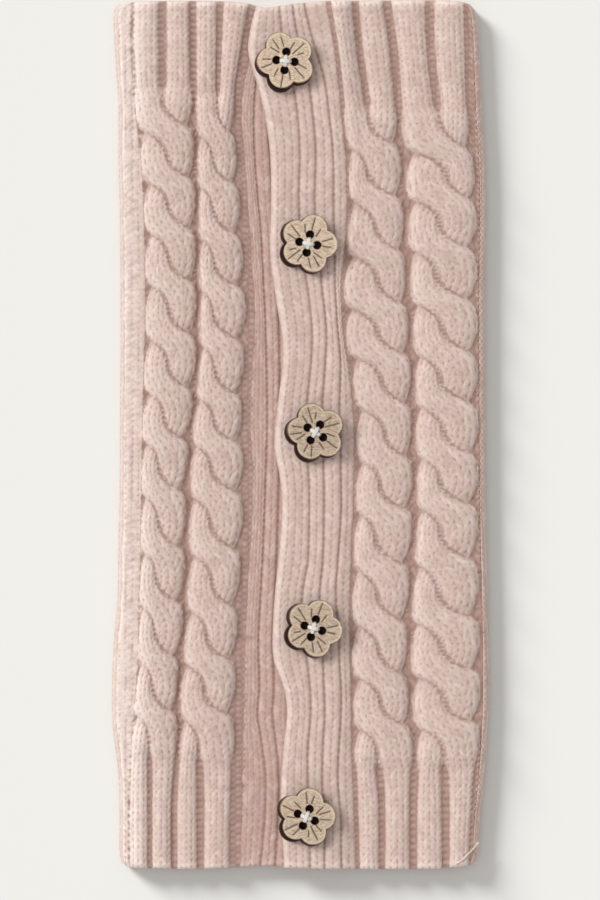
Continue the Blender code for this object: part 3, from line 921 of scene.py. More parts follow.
# %% Back
BACK_ROWS = 59 * CUTS
FOLD_COLUMNS = 3 * CUTS
FLOOR_COLUMNS = 10 * CUTS
BACK_ROLL = 1.3
BACK_ARC_ROWS = 3
# Painted shade on the back's folds and along its right seam.
PLAIN_SHADING = 0.5
FOLD_SHADE = 0.2
PRESSED_RELIEF = 0.4
SEAM_DASH_ANGLE = 60
SEAM_DASH_WIDTH = 14
SEAM_DASH_SHADE = 0.4


def make_back():
    rise = rows_of_points(BACK_ROWS, BACK_ROLL, BACK_ARC_ROWS)
    left = read(OUTLINE, "left", rise)
    right = read(OUTLINE, "right", rise)
    angle = np.radians(np.linspace(SEAM_ANGLE, -90, FOLD_COLUMNS + 1))
    out = FOLD_RADIUS * np.cos(angle)
    up = FOLD_RADIUS + FOLD_RADIUS * np.sin(angle)
    left_x = (left + FOLD_RADIUS)[:, None] - out
    right_x = (right - FOLD_RADIUS)[:, None] + out[::-1]
    share = np.linspace(0, 1, FLOOR_COLUMNS + 1)[1:-1]
    floor_x = left_x[:, -1:] + (right_x[:, :1] - left_x[:, -1:]) * share
    x = np.hstack([left_x, floor_x, right_x])
    z = np.broadcast_to(np.concatenate([up, np.zeros(len(share)), up[::-1]]), x.shape)
    rise = np.broadcast_to(rise[:, None], x.shape)
    points = np.stack([x, hem_point(x, rise), z], axis=2)
    facing = -normals_of(points)
    length = np.cumsum(np.hypot(np.diff(x, axis=1), np.diff(z, axis=1)), axis=1)
    leg = np.hstack([np.zeros((len(x), 1)), length]) / LEG
    drift = wander(x, rise)
    height, tone = knit(leg, rise / ROW + drift)
    full = rim(np.minimum(rise, LENGTH - rise), BACK_ROLL)
    inwards = PRESSED_RELIEF * (1 - height) + BACK_ROLL * (1 - full)
    outer = points - facing * inwards[:, :, None]
    start = left + SEAM_INSET
    end = right - SEAM_INSET
    edge_share = np.linspace(0, 1, FOLD_COLUMNS + 1)
    left_inner = start[:, None] + (FOLD_RADIUS - SEAM_INSET) * edge_share
    right_inner = end[:, None] - (FOLD_RADIUS - SEAM_INSET) * edge_share[::-1]
    middle = left_inner[:, -1:] + (right_inner[:, :1] - left_inner[:, -1:]) * share
    inner_x = np.hstack([left_inner, middle, right_inner])
    inner = inside_points(inner_x, rise, np.full_like(inner_x, BACK_WALL))
    # Painted shade: deeper down each fold towards the floor, in dashes along the right seam, and in
    # the gaps between the stitches.
    seam = dark_line(np.degrees(angle[::-1]) - SEAM_DASH_ANGLE, SEAM_DASH_WIDTH)
    dashes = 0.5 + 0.5 * np.cos(2 * math.pi * (rise / ROW + drift))
    painted_shading = PLAIN_SHADING + FOLD_SHADE * smooth(1 - z / (2 * FOLD_RADIUS))
    painted_shading[:, -len(seam) :] += SEAM_DASH_SHADE * seam * dashes[:, -len(seam) :]
    marks = {"painted_shading": np.clip(painted_shading, 0, 1), "gap_shading": 1 - height, "tone": tone}
    return shell("knitted_back", outer, inner, marks)


back = make_back()

# %% [markdown]
# The nap. Brushed wool has a halo of fine hairs that softens every outline. A particle
# system could grow them, but plain meshes export better: one thin three-sided hair is made
# from a cone, and its copies are placed on points picked at random from the knitted faces.
# Each leans away from the face and ends in a point, and the longer ones bend over.

# %% Nap of fine hairs
HAIR_WIDTH = 0.03
HAIR_DEPTH = 0.1
HAIR_BEND = 0.5
HAIR_UPRIGHT = 0.6
LOWEST_FACING = -0.3


def hair_shape(bends):
    """One upright hair, 1 long: its points and its faces. A hair that bends is cut once."""
    bm = bmesh.new()
    bmesh.ops.create_cone(bm, cap_ends=True, segments=3, radius1=1, radius2=0, depth=1)
    bmesh.ops.translate(bm, vec=(0, 0, 0.5), verts=bm.verts)
    bmesh.ops.remove_doubles(bm, verts=bm.verts, dist=1e-5)
    if bends:
        sides = [edge for edge in bm.edges if abs(edge.verts[0].co.z - edge.verts[1].co.z) > 0.5]
        bmesh.ops.subdivide_edges(bm, edges=sides, cuts=1)
    bmesh.ops.recalc_face_normals(bm, faces=bm.faces)
    points = np.array([vert.co for vert in bm.verts])
    faces = [[vert.index for vert in face.verts] for face in bm.faces]
    bm.free()
    return points, faces


def roots_on(panels, count):
    """Points picked at random on the panels' upper faces, by area, with their normals."""
    spots, normals, areas = [], [], []
    for panel in panels:
        mesh = panel.data
        kinds = ((spots, "center", 3), (normals, "normal", 3), (areas, "area", 1))
        for layer, name, size in kinds:
            values = np.zeros(len(mesh.polygons) * size, np.float32)
            mesh.polygons.foreach_get(name, values)
            layer.append(values.reshape(-1, size))
    spots, normals, areas = (np.concatenate(layer) for layer in (spots, normals, areas))
    outwards = normals[:, 2] > LOWEST_FACING
    weight = areas[:, 0] * outwards
    picked = random.choice(len(spots), count, p=weight / weight.sum())
    return spots[picked], normals[picked]


def make_nap(name, panels, count, lengths, lean_out, bends):
    points, faces = hair_shape(bends)
    root, normal = roots_on(panels, count)
    lean = normal + lean_out * random.normal(size=(count, 3))
    lean[:, 2] = np.abs(lean[:, 2]) * HAIR_UPRIGHT
    lean /= np.linalg.norm(lean, axis=1, keepdims=True)
    side = np.cross(lean, random.normal(size=(count, 3)))
    side /= np.linalg.norm(side, axis=1, keepdims=True)
    other = np.cross(lean, side)
    low, high = lengths
    length = (low + (high - low) * random.random(count) ** 2) * MM
    bend = HAIR_BEND * random.random(count)
    up = points[None, :, 2:3]
    along = lean[:, None] * up + side[:, None] * (bend[:, None, None] * up**2)
    round_it = side[:, None] * points[None, :, 0:1] + other[:, None] * points[None, :, 1:2]
    placed = root[:, None] - normal[:, None] * HAIR_DEPTH * MM
    placed = placed + along * length[:, None, None] + round_it * HAIR_WIDTH * MM
    tiled = [
        [index + len(points) * hair for index in face] for hair in range(count) for face in faces
    ]
    mesh = bpy.data.meshes.new(name)
    mesh.from_pydata(placed.reshape(-1, 3), [], tiled)
    print(f"{name}: {count} hairs, {triangles_in(mesh)} triangles")
    return put(name, mesh)


panels = [left_front, right_front, button_band, under_band, back]
naps = [
    make_nap("wool_nap", panels, 6000, (0.8, 2.8), 0.9, bends=True),
    make_nap("wool_fuzz", panels, 18000, (0.5, 1.3), 1.3, bends=False),
]

# %% [markdown]
# The buttons. Each is cut from a thin sheet of pale wood with a hot beam, which burns the
# edge dark and engraves the petals' veins. Half of its section is spun once round, and the
# turned disc is then pulled out to five petals. The holes are cut with a Boolean, and the
# veins are pressed into the fine top face. A stack of extruded outlines would also do, but
# its top would be one flat face that could hold no engraving. Each button lies a little
# tilted, so its burnt wall shows on one side.

# %% Shape of a button
PETALS = 5
PETAL_CENTRE = 7.0
PETAL_RADIUS = 6.0
HOLES = 4
HOLE_CENTRE = 3.9
HOLE_RADIUS = 1.7
HOLE_SPIN = 45
HOLE_SEGMENTS = 28
SPIN_STEPS = 180
TOP_RINGS = 24
RIM_WIDTH = 0.03
EDGE_ROUND = 0.22
EDGE_FLARE = 0.05
EDGE_SHEAR = 1.1
# The holes stop above the button's back, and their floors are painted black as painted shadow.
PAINTED_SHADOW_FLOOR = 0.3

VEINS = table(
    "petal start_angle start_reach end_angle end_reach",
    (0, 4, 4.5, 3.5, 11.0),
    (0, 28, 5.5, 24, 8.8),
    (0, -13, 6.0, -16, 8.6),
    (1, 6.6, 6.0, 9.5, 10.6),
    (1, -15, 6.3, -10.6, 10.5),
    (1, 15.5, 4.6, 26.6, 8.6),
    (2, 9, 6.15, 13, 10.6),
    (2, -9, 6.3, -8, 9.7),
    (3, -28, 4.6, -21.9, 8.0),
    (3, 4.7, 6.2, 4.6, 11.4),
    (3, 35, 5.0, 29.5, 8.3),
    (4, -2.7, 4.9, -9.8, 11.0),
    (4, 20.3, 5.3, 12.6, 9.6),
)
VEIN_WIDTH = 0.38
VEIN_DEPTH = 0.28


def petal_reach(angle):
    """Distance from the button's middle to its five-petalled edge."""
    step = 2 * math.pi / PETALS
    away = (angle + step / 2) % step - step / 2
    across = PETAL_CENTRE * np.sin(away)
    return PETAL_CENTRE * np.cos(away) + np.sqrt(PETAL_RADIUS**2 - across**2)


def button_disc():
    """A disc of radius 1, spun from half of its section. Its height is in mm."""
    top = [(share, BUTTON_THICKNESS) for share in np.linspace(0, 1 - RIM_WIDTH, TOP_RINGS)]
    edge = []
    for a in map(math.radians, (30, 60, 90)):
        out = 1 - RIM_WIDTH + RIM_WIDTH * math.sin(a)
        edge.append((out, BUTTON_THICKNESS - EDGE_ROUND * (1 - math.cos(a))))
    wall = [(1, 1.8), (1, 0.9), (1, 0.15), (0.985, 0)]
    section = top + edge + wall + [(0.6, 0), (0, 0)]
    bm = bmesh.new()
    verts = [bm.verts.new((x, 0, z)) for x, z in section]
    edges = [bm.edges.new(pair) for pair in zip(verts, verts[1:])]
    bmesh.ops.spin(
        bm, geom=verts + edges, axis=(0, 0, 1), cent=(0, 0, 0), steps=SPIN_STEPS,
        angle=2 * math.pi, use_merge=True,
    )
    bmesh.ops.remove_doubles(bm, verts=bm.verts, dist=1e-5)
    bmesh.ops.recalc_face_normals(bm, faces=bm.faces)
    return bm


def petal_out(bm, spin, low_side):
    """Pulls the disc's points out to the petals. Its wall leans out on the low side."""
    place = np.array([vert.co for vert in bm.verts])
    share = np.hypot(place[:, 0], place[:, 1])
    angle = np.arctan2(place[:, 1], place[:, 0])
    down = 1 - place[:, 2] / BUTTON_THICKNESS
    reach = share * petal_reach(angle - math.radians(spin)) + EDGE_FLARE * down * share
    low = math.radians(low_side)
    x = reach * np.cos(angle) + EDGE_SHEAR * down * math.cos(low)
    y = reach * np.sin(angle) + EDGE_SHEAR * down * math.sin(low)
    for vert, point in zip(bm.verts, zip(x, y, place[:, 2])):
        vert.co = point


def hole_middles(spin):
    angles = np.radians(spin + HOLE_SPIN + 360 / HOLES * np.arange(HOLES))
    return [(HOLE_CENTRE * math.cos(angle), HOLE_CENTRE * math.sin(angle)) for angle in angles]


def drill(made, spin):
    """Cuts the four deep holes with one Boolean. They stop short of the back, and their floors are
    painted black as painted shadow.
    """
    bm = bmesh.new()
    for x, y in hole_middles(spin):
        matrix = Matrix.Translation((x, y, PAINTED_SHADOW_FLOOR + BUTTON_THICKNESS / 2))
        bmesh.ops.create_cone(
            bm, cap_ends=True, segments=HOLE_SEGMENTS, radius1=HOLE_RADIUS,
            radius2=HOLE_RADIUS, depth=BUTTON_THICKNESS, matrix=matrix,
        )
    cutter = put("drill", mesh_of(bm, "drill"))
    cut = made.modifiers.new("holes", "BOOLEAN")
    cut.operation = "DIFFERENCE"
    cut.object = cutter
    graph = bpy.context.evaluated_depsgraph_get()
    result = bpy.data.meshes.new_from_object(made.evaluated_get(graph))
    made.modifiers.clear()
    made.data = result
    bpy.data.objects.remove(cutter)


def vein_nearness(x, y, spin):
    """1 on the engraved veins and 0 beside them."""
    nearest = np.full_like(x, PETAL_CENTRE + PETAL_RADIUS)
    for petal, from_angle, from_reach, to_angle, to_reach in zip(*VEINS.values()):
        axis = spin + petal * 360 / PETALS
        start = from_reach * np.exp(1j * math.radians(axis + from_angle))
        line = to_reach * np.exp(1j * math.radians(axis + to_angle)) - start
        offset = x + 1j * y - start
        share = np.clip((offset * np.conj(line)).real / abs(line) ** 2, 0, 1)
        nearest = np.minimum(nearest, np.abs(offset - share * line))
    return dark_line(nearest, VEIN_WIDTH)


# %% Marks on a button
RIM_SHARE = 0.965
RIM_FADE = 0.03
RIM_BURN = 0.6
SIDE_BURN = 0.075
# A painted highlight just inside the rim.
BEVEL_HIGHLIGHT_INSIDE = 0.04
BEVEL_HIGHLIGHT_WIDTH = 0.025
BURN_WIDTH = 0.25
BURN_FADE = 0.2
TOP_SKIN = 0.01


def button_marks(place, spin, low_side, light):
    """How burnt and engraved the wood is at each point, with the hole floors painted black as
    painted shadow, a painted highlight just inside the rim, and how much its colour is lightened or
    darkened.
    """
    x, y, z = place.T
    angle = np.arctan2(y, x)
    share = np.hypot(x, y) / petal_reach(angle - math.radians(spin))
    top = z > BUTTON_THICKNESS - TOP_SKIN
    low_part = np.clip(np.cos(angle - math.radians(low_side)), 0, 1)
    rim_share = RIM_SHARE - SIDE_BURN * low_part
    char_and_hole_shadow = mix(RIM_BURN, 1, low_part) * np.clip((share - rim_share) / RIM_FADE, 0, 1)
    # Char on the walls; the same paint blackens the hole floors, as painted shadow.
    char_and_hole_shadow = np.maximum(char_and_hole_shadow, np.clip((BUTTON_THICKNESS - z) / EDGE_ROUND, 0, 1))
    for hole_x, hole_y in hole_middles(spin):
        away = np.hypot(x - hole_x, y - hole_y)
        char_and_hole_shadow = np.maximum(char_and_hole_shadow, np.clip((HOLE_RADIUS + BURN_WIDTH - away) / BURN_FADE, 0, 1))
    return {
        "char_and_hole_shadow": char_and_hole_shadow,
        "vein": vein_nearness(x, y, spin) * top,
        # A painted highlight just inside the rim.
        "bevel_highlight": dark_line(share - rim_share + BEVEL_HIGHLIGHT_INSIDE, BEVEL_HIGHLIGHT_WIDTH) * top,
        "light": np.full(len(place), light),
    }


# %% The button maker
GRAIN_STEP = 10.0
SHARP_ANGLE = 40


def make_button(node, x, rise, spin, low_side, light):
    """A finished button, and how it is turned and raised, for its thread."""
    bm = button_disc()
    petal_out(bm, spin, low_side)
    made = put("carved_" + node, mesh_of(bm, "carved_" + node))
    drill(made, spin)
    mesh = made.data
    place = points_of(mesh).astype(float)
    marks = button_marks(place, spin, low_side, light)
    grain = np.column_stack([place[:, :2], np.full(len(place), GRAIN_STEP * rise)])
    place[:, 2] -= VEIN_DEPTH * marks["vein"]
    low = math.radians(low_side - 90)
    turn = Matrix.Rotation(math.radians(BUTTON_TILT), 3, (-math.cos(low), -math.sin(low), 0))
    place = place @ np.array(turn).T
    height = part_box(node)[1].z / MM - place[:, 2].max()
    place += (x, rise - LENGTH / 2, height)
    store(mesh.vertices, "co", place * MM)
    mesh.update()
    keep_marks(mesh, marks)
    store(mesh.attributes.new("grain_place", "FLOAT_VECTOR", "POINT").data, "vector", grain)
    mesh.shade_smooth()
    mesh.set_sharp_from_angle(angle=math.radians(SHARP_ANGLE))
    top = place[:, 2].max()
    print(f"{made.name}: {triangles_in(mesh)} triangles, top at {top:.1f} mm")
    return made, turn, height


# %% [markdown]
# The sewing thread. Two times four threads cross between the holes over the middle of each
# button and go down into them. Each thread is two plies twisted together, so a ply is a helix
# round the thread's own line. Curves with a round bevel make them, and they are turned into
# meshes because their place belongs in the mesh. A loose yarn end at a corner is made alike.

# %% Sewing thread
THREAD_RADIUS = 0.3
PLY_RADIUS = 0.2
PLY_TWISTS = 6
THREAD_POINTS = 36
PLY_OVERLAP = 0.6
THREAD_WAYS = (-1.5, -0.5, 0.5, 1.5)
THREADS_APART = 0.36
THREADS_GATHERED = 0.4
THREAD_PULL = 0.9
THREAD_HUMP = 0.4
HOLE_DEPTH = BUTTON_THICKNESS - PAINTED_SHADOW_FLOOR


def thread_line(start, end, hump):
    """The middle line of a thread from one hole over the button and into another."""
    path = ((0.66, -HOLE_DEPTH), (0.64, -0.6), (0.54, 0.15), (0.3, 0.9 * hump))
    one, other = ([(*(hole * share), z) for share, z in path] for hole in (start, end))
    return [*one, (0, 0, hump), *reversed(other)]


def even_points(line, count):
    """Points at even steps on a smooth curve through a few given ones."""
    line = np.array(line, float)
    knots = np.concatenate([[0], np.cumsum(np.linalg.norm(np.diff(line, axis=0), axis=1))])
    at = np.linspace(0, knots[-1], count)
    named = [tuple(row) for row in np.column_stack([knots, line])]
    lines = table("along x y z", *named)
    return np.column_stack([read(lines, axis, at, by="along") for axis in "xyz"])


def plies(points):
    """The two plies that twist round a line of points."""
    along = np.gradient(points, axis=0)
    along /= np.linalg.norm(along, axis=1, keepdims=True)
    side = np.cross(along, (0.3, 0.2, 1.0))
    side /= np.linalg.norm(side, axis=1, keepdims=True)
    other = np.cross(along, side)
    turn = np.linspace(0, 2 * math.pi * PLY_TWISTS, len(points))[:, None]
    swing = THREAD_RADIUS - PLY_RADIUS * PLY_OVERLAP
    offset = swing * (np.cos(turn) * side + np.sin(turn) * other)
    return points + offset, points - offset


def tubes(name, lines, radius):
    """Round tubes along lines of points, as one mesh."""
    curve = bpy.data.curves.new(name, "CURVE")
    curve.dimensions = "3D"
    curve.bevel_depth = radius * MM
    curve.bevel_resolution = 1
    curve.use_fill_caps = True
    for line in lines:
        spline = curve.splines.new("POLY")
        spline.points.add(len(line) - 1)
        for point, where in zip(spline.points, line * MM):
            point.co = (*where, 1)
    source = put(name + "_curve", curve)
    graph = bpy.context.evaluated_depsgraph_get()
    mesh = bpy.data.meshes.new_from_object(source.evaluated_get(graph))
    bpy.data.objects.remove(source)
    mesh.shade_smooth()
    return put(name, mesh)


def make_thread(node, x, rise, spin, turn, height):
    """Four threads each way across the holes, turned and raised with the button."""
    holes = [THREAD_PULL * np.array(middle) for middle in hole_middles(spin)]
    arc = np.sin(np.linspace(0, math.pi, THREAD_POINTS))[:, None]
    spread = THREADS_APART * mix(THREADS_GATHERED, 1, arc)
    lines = []
    for order, (start, end) in enumerate(((holes[0], holes[2]), (holes[1], holes[3]))):
        across = np.array([-(end - start)[1], (end - start)[0]])
        across /= np.linalg.norm(across)
        for way in THREAD_WAYS:
            line = thread_line(start, end, THREAD_HUMP * (1 + order))
            line = even_points(line, THREAD_POINTS)
            line[:, :2] += across * way * spread
            line[:, 2] += BUTTON_THICKNESS
            for ply in plies(line):
                lines.append(ply @ np.array(turn).T + (x, rise - LENGTH / 2, height))
    return tubes("thread_" + node, lines, PLY_RADIUS)


buttons = []
threads = []
for index, (x, rise, spin, low_side, light) in enumerate(zip(*BUTTONS.values())):
    node = f"button_{index + 1}"
    button, turn, height = make_button(node, x, rise, spin, low_side, light)
    buttons.append(button)
    threads.append(make_thread(node, x, rise, spin, turn, height))

# %% Loose yarn end
YARN_RADIUS = 0.17
YARN_END = (
    (66.5, 2.2, 8.2),
    (69.8, 4.4, 8.6),
    (73.0, 7.4, 8.0),
    (75.4, 9.8, 7.0),
    (77.2, 12.0, 6.9),
)

yarn_line = even_points([(x, rise - LENGTH / 2, z) for x, rise, z in YARN_END], THREAD_POINTS)
yarn_end = tubes("loose_yarn_end", plies(yarn_line), YARN_RADIUS)

# %% [markdown]
# Finishes. All of them are procedural. Two effects are shared by the materials of the wool,
# so they are node groups: one colours the stitches from the marks on the mesh, with painted
# shade in hollows, grooves and stitch gaps and painted light on raised faces and the left
# side, and one gives the fine fibres' bump. The shader itself stays in each material. The
# under band is a darker copy of the wool, as painted shade, since it lies low in shadow. The
# buttons' wood is burnt and engraved, with a painted highlight inside its rim, hole floors
# painted black as painted shadow, and its colour lightened or darkened by its own marks.


# %% Helpers for node groups
def node_group(name, inputs, outputs):
    """An empty shader node group with named sockets."""
    group = bpy.data.node_groups.new(name, "ShaderNodeTree")
    for label, kind, value in inputs:
        socket = group.interface.new_socket(label, in_out="INPUT", socket_type=kind)
        if value is not None:
            socket.default_value = value
    for label, kind in outputs:
        group.interface.new_socket(label, in_out="OUTPUT", socket_type=kind)
    start = group.nodes.new("NodeGroupInput")
    end = group.nodes.new("NodeGroupOutput")
    return group, start, end


def add(tree, kind, **values):
    """A node with its settings, and with values for its inputs by name or number."""
    node = tree.nodes.new(kind)
    inputs = values.pop("inputs", {})
    for setting, value in values.items():
        setattr(node, setting, value)
    for socket, value in inputs.items():
        node.inputs[socket].default_value = value
    return node


def blend_colour(tree, factor, first, second, way="MIX"):
    """A colour mix. Each of the three may be a socket or a plain value."""
    node = tree.nodes.new("ShaderNodeMix")
    node.data_type = "RGBA"
    node.blend_type = way
    for number, value in ((0, factor), (6, first), (7, second)):
        socket = node.inputs[number]
        if isinstance(value, bpy.types.NodeSocket):
            tree.links.new(value, socket)
        else:
            socket.default_value = value
    return node.outputs[2]


def scaled(tree, socket, low, high, to_low=0.0, to_high=1.0):
    """A value stretched from one range to another, and kept inside it."""
    node = add(tree, "ShaderNodeMapRange", clamp=True)
    tree.links.new(socket, node.inputs[0])
    for number, value in zip((1, 2, 3, 4), (low, high, to_low, to_high)):
        node.inputs[number].default_value = value
    return node.outputs[0]


def painted(tree, colour, mask, low, high, most, paint):
    """A colour with paint over it: none where a mask is low, and most where it is high."""
    return blend_colour(tree, scaled(tree, mask, low, high, 0.0, most), colour, paint)


def multiplied(tree, colour, by):
    return blend_colour(tree, 1.0, colour, by, "MULTIPLY")


def mark(tree, name, output="Fac"):
    """A value that was kept on the mesh."""
    return add(tree, "ShaderNodeAttribute", attribute_name=name).outputs[output]


def own_place(tree):
    """The place on the object itself, so a pattern moves with it."""
    return add(tree, "ShaderNodeTexCoord").outputs["Object"]


def noise(tree, place, **inputs):
    """A cloudy pattern from 0 to 1, read at a place."""
    node = add(tree, "ShaderNodeTexNoise", inputs=inputs)
    tree.links.new(place, node.inputs["Vector"])
    return node.outputs["Fac"]


def linear(red, green, blue):
    """A colour given as 0 to 255, as the shaders want it."""
    values = [channel / 255 for channel in (red, green, blue)]
    return (*[v / 12.92 if v <= 0.04045 else ((v + 0.055) / 1.055) ** 2.4 for v in values], 1)


# %% Group: stitch colours with painted light and shade
def stitch_shading_group():
    # The lightest input is the painted highlight colour for raised faces; the darkest is the
    # painted shade colour for hollows and stitch gaps, and it also darkens some stitches at random.
    group, start, end = node_group(
        "stitch colours and painted shading",
        [
            ("Light", "NodeSocketColor", linear(232, 214, 204)),
            ("Middle", "NodeSocketColor", linear(214, 192, 180)),
            ("Deep", "NodeSocketColor", linear(140, 104, 92)),
            ("Gap Strength", "NodeSocketFloat", 0.5),
        ],
        [("Color", "NodeSocketColor")],
    )
    painted_shading, gap_shading, tone = (mark(group, name) for name in ("painted_shading", "gap_shading", "tone"))
    middle, light, deep = (start.outputs[name] for name in ("Middle", "Light", "Deep"))
    place = own_place(group)
    patches = noise(group, place, Scale=170, Detail=2)
    specks = noise(group, place, Scale=900, Detail=2)
    # Painted light: where a face stands clear, or along the left edge, it is painted in the lighter
    # colour.
    colour = painted(group, middle, painted_shading, 0.5, 0.2, 1.0, light)
    warm = scaled(group, patches, 0.38, 0.62)
    tint = blend_colour(group, warm, (1.0, 0.975, 0.98, 1), (0.985, 0.985, 0.955, 1))
    colour = multiplied(group, colour, tint)
    across = add(group, "ShaderNodeSeparateXYZ")
    group.links.new(place, across.inputs[0])
    x = across.outputs["X"]
    # Painted light: towards the left side, which faces the window light, the wool is painted paler.
    colour = painted(group, colour, x, -0.05, -0.074, 0.2, linear(252, 240, 234))
    colour = painted(group, colour, tone, 0.4, 0.0, 0.2, linear(250, 236, 228))
    colour = painted(group, colour, tone, 0.6, 1.0, 0.14, deep)
    colour = multiplied(group, colour, scaled(group, specks, 0.35, 0.65, 0.93, 1.05))
    # Painted shade in hollows, grooves and the purl.
    colour = painted(group, colour, painted_shading, 0.52, 0.95, 0.55, deep)
    # Painted shade in the gaps between the stitches.
    shade = scaled(group, gap_shading, 0.28, 0.72)
    strength = add(group, "ShaderNodeMath", operation="MULTIPLY")
    group.links.new(shade, strength.inputs[0])
    group.links.new(start.outputs["Gap Strength"], strength.inputs[1])
    colour = blend_colour(group, strength.outputs[0], colour, deep)
    group.links.new(colour, end.inputs["Color"])
    return group


# %% Group: fibre bump
def fibre_group():
    group, start, end = node_group(
        "wool fibres",
        [("Scale", "NodeSocketFloat", 1800), ("Strength", "NodeSocketFloat", 0.5)],
        [("Normal", "NodeSocketVector")],
    )
    fibres = noise(group, own_place(group), Detail=4, Roughness=0.65)
    group.links.new(start.outputs["Scale"], fibres.node.inputs["Scale"])
    bump = add(group, "ShaderNodeBump", inputs={"Distance": 0.0004})
    group.links.new(start.outputs["Strength"], bump.inputs["Strength"])
    group.links.new(fibres, bump.inputs["Height"])
    group.links.new(bump.outputs["Normal"], end.inputs["Normal"])
    return group


stitch_shading = stitch_shading_group()
wool_fibres = fibre_group()


def use_group(tree, group, **values):
    node = add(tree, "ShaderNodeGroup", node_tree=group)
    for name, value in values.items():
        node.inputs[name.replace("_", " ")].default_value = value
    return node


# %% Knitted wool
def new_material(name, **inputs):
    """A material with the plain values of its shader."""
    made = bpy.data.materials.new(name)
    made.use_nodes = True
    shader = made.node_tree.nodes["Principled BSDF"]
    for socket, value in inputs.items():
        shader.inputs[socket.replace("_", " ")].default_value = value
    return made, made.node_tree, shader


def knitted_wool(name, light, middle, deep, gap_shade):
    made, tree, shader = new_material(
        name,
        Roughness=0.92,
        Specular_IOR_Level=0.2,
        Subsurface_Weight=0.8,
        Subsurface_Radius=(1.0, 0.9, 0.86),
        Subsurface_Scale=0.0008,
        Sheen_Weight=0.35,
        Sheen_Roughness=0.55,
        Sheen_Tint=linear(248, 236, 232),
    )
    colours = use_group(
        tree, stitch_shading, Light=light, Middle=middle, Deep=deep, Gap_Strength=gap_shade
    )
    fibres = use_group(tree, wool_fibres, Scale=1800, Strength=0.55)
    tree.links.new(colours.outputs["Color"], shader.inputs["Base Color"])
    tree.links.new(fibres.outputs["Normal"], shader.inputs["Normal"])
    return made


# Colours of the wool: a lighter one painted on raised faces as painted light, a middle one, and a
# dark one painted in hollows and gaps as painted shade. The under band's copy is darker all over,
# as painted shade, since it lies low in shadow.
PALE = linear(238, 221, 213)
ROSE = linear(214, 193, 183)
SHADED_PALE = linear(222, 199, 189)
SHADED_ROSE = linear(200, 172, 161)
SHADE_BROWN = linear(150, 112, 98)
wool = knitted_wool("dusty_pink_wool", PALE, ROSE, SHADE_BROWN, 0.44)
shaded_band_wool = knitted_wool("dusty_pink_wool_in_shade", SHADED_PALE, SHADED_ROSE, SHADE_BROWN, 0.4)


# %% Hairs and sewing thread
def speckled(name, scale, first, second, **inputs):
    """A plain material between two colours, in specks."""
    made, tree, shader = new_material(name, **inputs)
    specks = noise(tree, own_place(tree), Scale=scale, Detail=2)
    colour = blend_colour(tree, specks, first, second)
    tree.links.new(colour, shader.inputs["Base Color"])
    return made


hair_wool = speckled(
    "dusty_pink_hairs", 120, linear(214, 192, 182), linear(240, 226, 218),
    Roughness=0.9, Specular_IOR_Level=0.2,
)
white_thread = speckled(
    "white_thread", 3000, linear(204, 199, 193), linear(246, 244, 240),
    Roughness=0.7, Sheen_Weight=0.3,
)


# %% Wood
def carved_wood():
    made, tree, shader = new_material("pale_button_wood", Roughness=0.55, Specular_IOR_Level=0.15)
    char_and_hole_shadow, vein, bevel_highlight, light = (mark(tree, name) for name in ("char_and_hole_shadow", "vein", "bevel_highlight", "light"))
    place = mark(tree, "grain_place", "Vector")
    stretch = add(tree, "ShaderNodeMapping", inputs={"Scale": (0.7, 2.0, 1)})
    stretch.inputs["Rotation"].default_value = (0, 0, math.radians(35))
    tree.links.new(place, stretch.inputs["Vector"])
    grain = noise(tree, stretch.outputs["Vector"], Scale=0.95, Detail=6, Roughness=0.8)
    blotch = noise(tree, place, Scale=0.25, Detail=2)
    streak = scaled(tree, grain, 0.38, 0.6)
    colour = blend_colour(tree, streak, linear(223, 205, 183), linear(156, 131, 108))
    colour = painted(tree, colour, blotch, 0.4, 0.65, 0.4, linear(202, 181, 157))
    colour = multiplied(tree, colour, light)
    # Painted highlight on the bevel just inside the rim.
    colour = painted(tree, colour, bevel_highlight, 0.2, 1.0, 0.55, linear(232, 214, 186))
    # Burnt char on the rim, walls and round the holes; the darkest paint also blackens the hole
    # floors as painted shadow.
    colour = painted(tree, colour, char_and_hole_shadow, 0.0, 0.5, 0.75, linear(104, 62, 44))
    colour = painted(tree, colour, char_and_hole_shadow, 0.4, 0.95, 1.0, linear(36, 16, 10))
    colour = painted(tree, colour, vein, 0.2, 0.8, 0.8, linear(74, 52, 38))
    tree.links.new(colour, shader.inputs["Base Color"])
    bump = add(tree, "ShaderNodeBump", inputs={"Strength": 0.25, "Distance": 0.0002})
    tree.links.new(grain, bump.inputs["Height"])
    tree.links.new(bump.outputs["Normal"], shader.inputs["Normal"])
    return made


# %% Finishes and bodies
def give(pieces, finish):
    """Gives each piece its finish and its body."""
    for piece in pieces:
        piece.data.materials.clear()
        piece.data.materials.append(finish)
        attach(piece, "root")


give([left_front, right_front, back, button_band, yarn_end], wool)
# The under band gets the darker copy of the wool, as painted shade.
give([under_band], shaded_band_wool)
give(naps, hair_wool)
give(buttons, carved_wood())
give(threads, white_thread)

# %% [markdown]
# Every solid of the frame is hidden, as its dressed piece takes its place. The five knitted
# panels are sheets of cloth laid on each other.

# %% Hiding the frame's solids
for node, piece in (
    ("left_front", left_front),
    ("right_front", right_front),
    ("under_band", under_band),
    ("button_band", button_band),
    ("back", back),
    *((f"button_{index + 1}", button) for index, button in enumerate(buttons)),
):
    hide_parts(node)

# %% [markdown]
# The stage: a plain pale floor, soft light from the upper left as in a product photo, and a
# camera straight above with a long lens, so that the picture shows hardly any perspective.
# Three suns light it: one like a window and a weak one from above for the leg warmer, and one
# for the floor alone. Light linking keeps them apart, so the shadow on the floor can be as
# wide and as pale as it should be without a change to the wool.

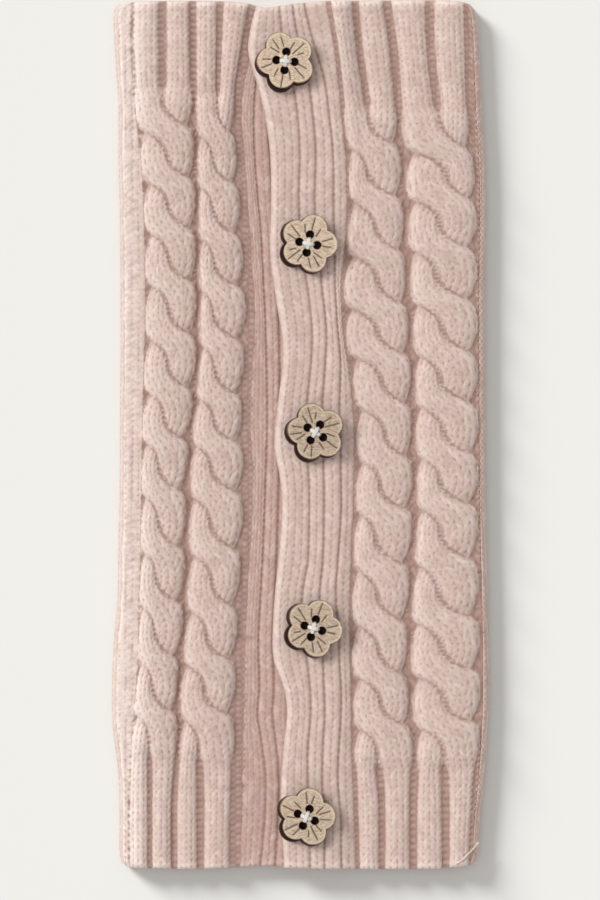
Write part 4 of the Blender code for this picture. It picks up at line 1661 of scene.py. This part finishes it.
# %% Floor, light and camera
FLOOR_SIZE = 6.0
ROOM_COLOUR = (1.0, 0.975, 0.98, 1)
ROOM_STRENGTH = 0.53
PICTURE_HEIGHT = 900
PIXEL = 0.4333
CAMERA_HEIGHT = 2000
SENSOR = 36
SIGHT_LEVEL = 5.0
CENTRE_X = -0.1
CENTRE_Y = -6.6

bm = bmesh.new()
bmesh.ops.create_grid(bm, x_segments=1, y_segments=1, size=FLOOR_SIZE / 2)
floor = put("floor", mesh_of(bm, "floor"))
floor_colour = linear(241, 241.5, 236.5)
floor_paint, *_ = new_material(
    "pale_floor", Roughness=0.9, Base_Color=floor_colour, Specular_IOR_Level=0.0
)
floor.data.materials.append(floor_paint)
floor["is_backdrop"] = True

world = bpy.data.worlds.new("soft_room")
world.use_nodes = True
background = world.node_tree.nodes["Background"]
background.inputs["Color"].default_value = ROOM_COLOUR
background.inputs["Strength"].default_value = ROOM_STRENGTH
bpy.context.scene.world = world


def sun(name, energy, angle, direction, receivers):
    """A soft sun that lights only some objects, so the floor's shadow can be set by itself."""
    light = put(name, bpy.data.lights.new(name, "SUN"))
    light.data.energy = energy
    light.data.angle = math.radians(angle)
    light.rotation_euler = Vector(direction).to_track_quat("-Z", "Y").to_euler()
    lit = bpy.data.collections.new(name + "_receivers")
    for receiver in receivers:
        lit.objects.link(receiver)
    light.light_linking.receiver_collection = lit


pieces = [*panels, *naps, *buttons, *threads, yarn_end]
sun("window_light", 2.05, 30, (0.62, -0.42, -0.72), pieces)
sun("room_light", 0.2, 120, (0.1, 0.1, -1.0), pieces)
sun("floor_light", 4.38, 21, (0.69, -0.61, -0.325), [floor])

camera = put("camera", bpy.data.cameras.new("camera"))
camera.data.sensor_width = SENSOR
camera.data.lens = SENSOR * CAMERA_HEIGHT / (PICTURE_HEIGHT * PIXEL)
camera.location = (CENTRE_X * MM, CENTRE_Y * MM, (CAMERA_HEIGHT + SIGHT_LEVEL) * MM)
bpy.context.scene.camera = camera
bpy.context.scene.view_settings.view_transform = "Standard"

# %% Sizes against the solid model
own_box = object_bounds()
boxes = {"cad": [list(corner) for corner in cad_box], "scene": [list(corner) for corner in own_box]}
for name, (low, high) in boxes.items():
    print(name, [round((b - a) / MM, 1) for a, b in zip(low, high)], "mm")
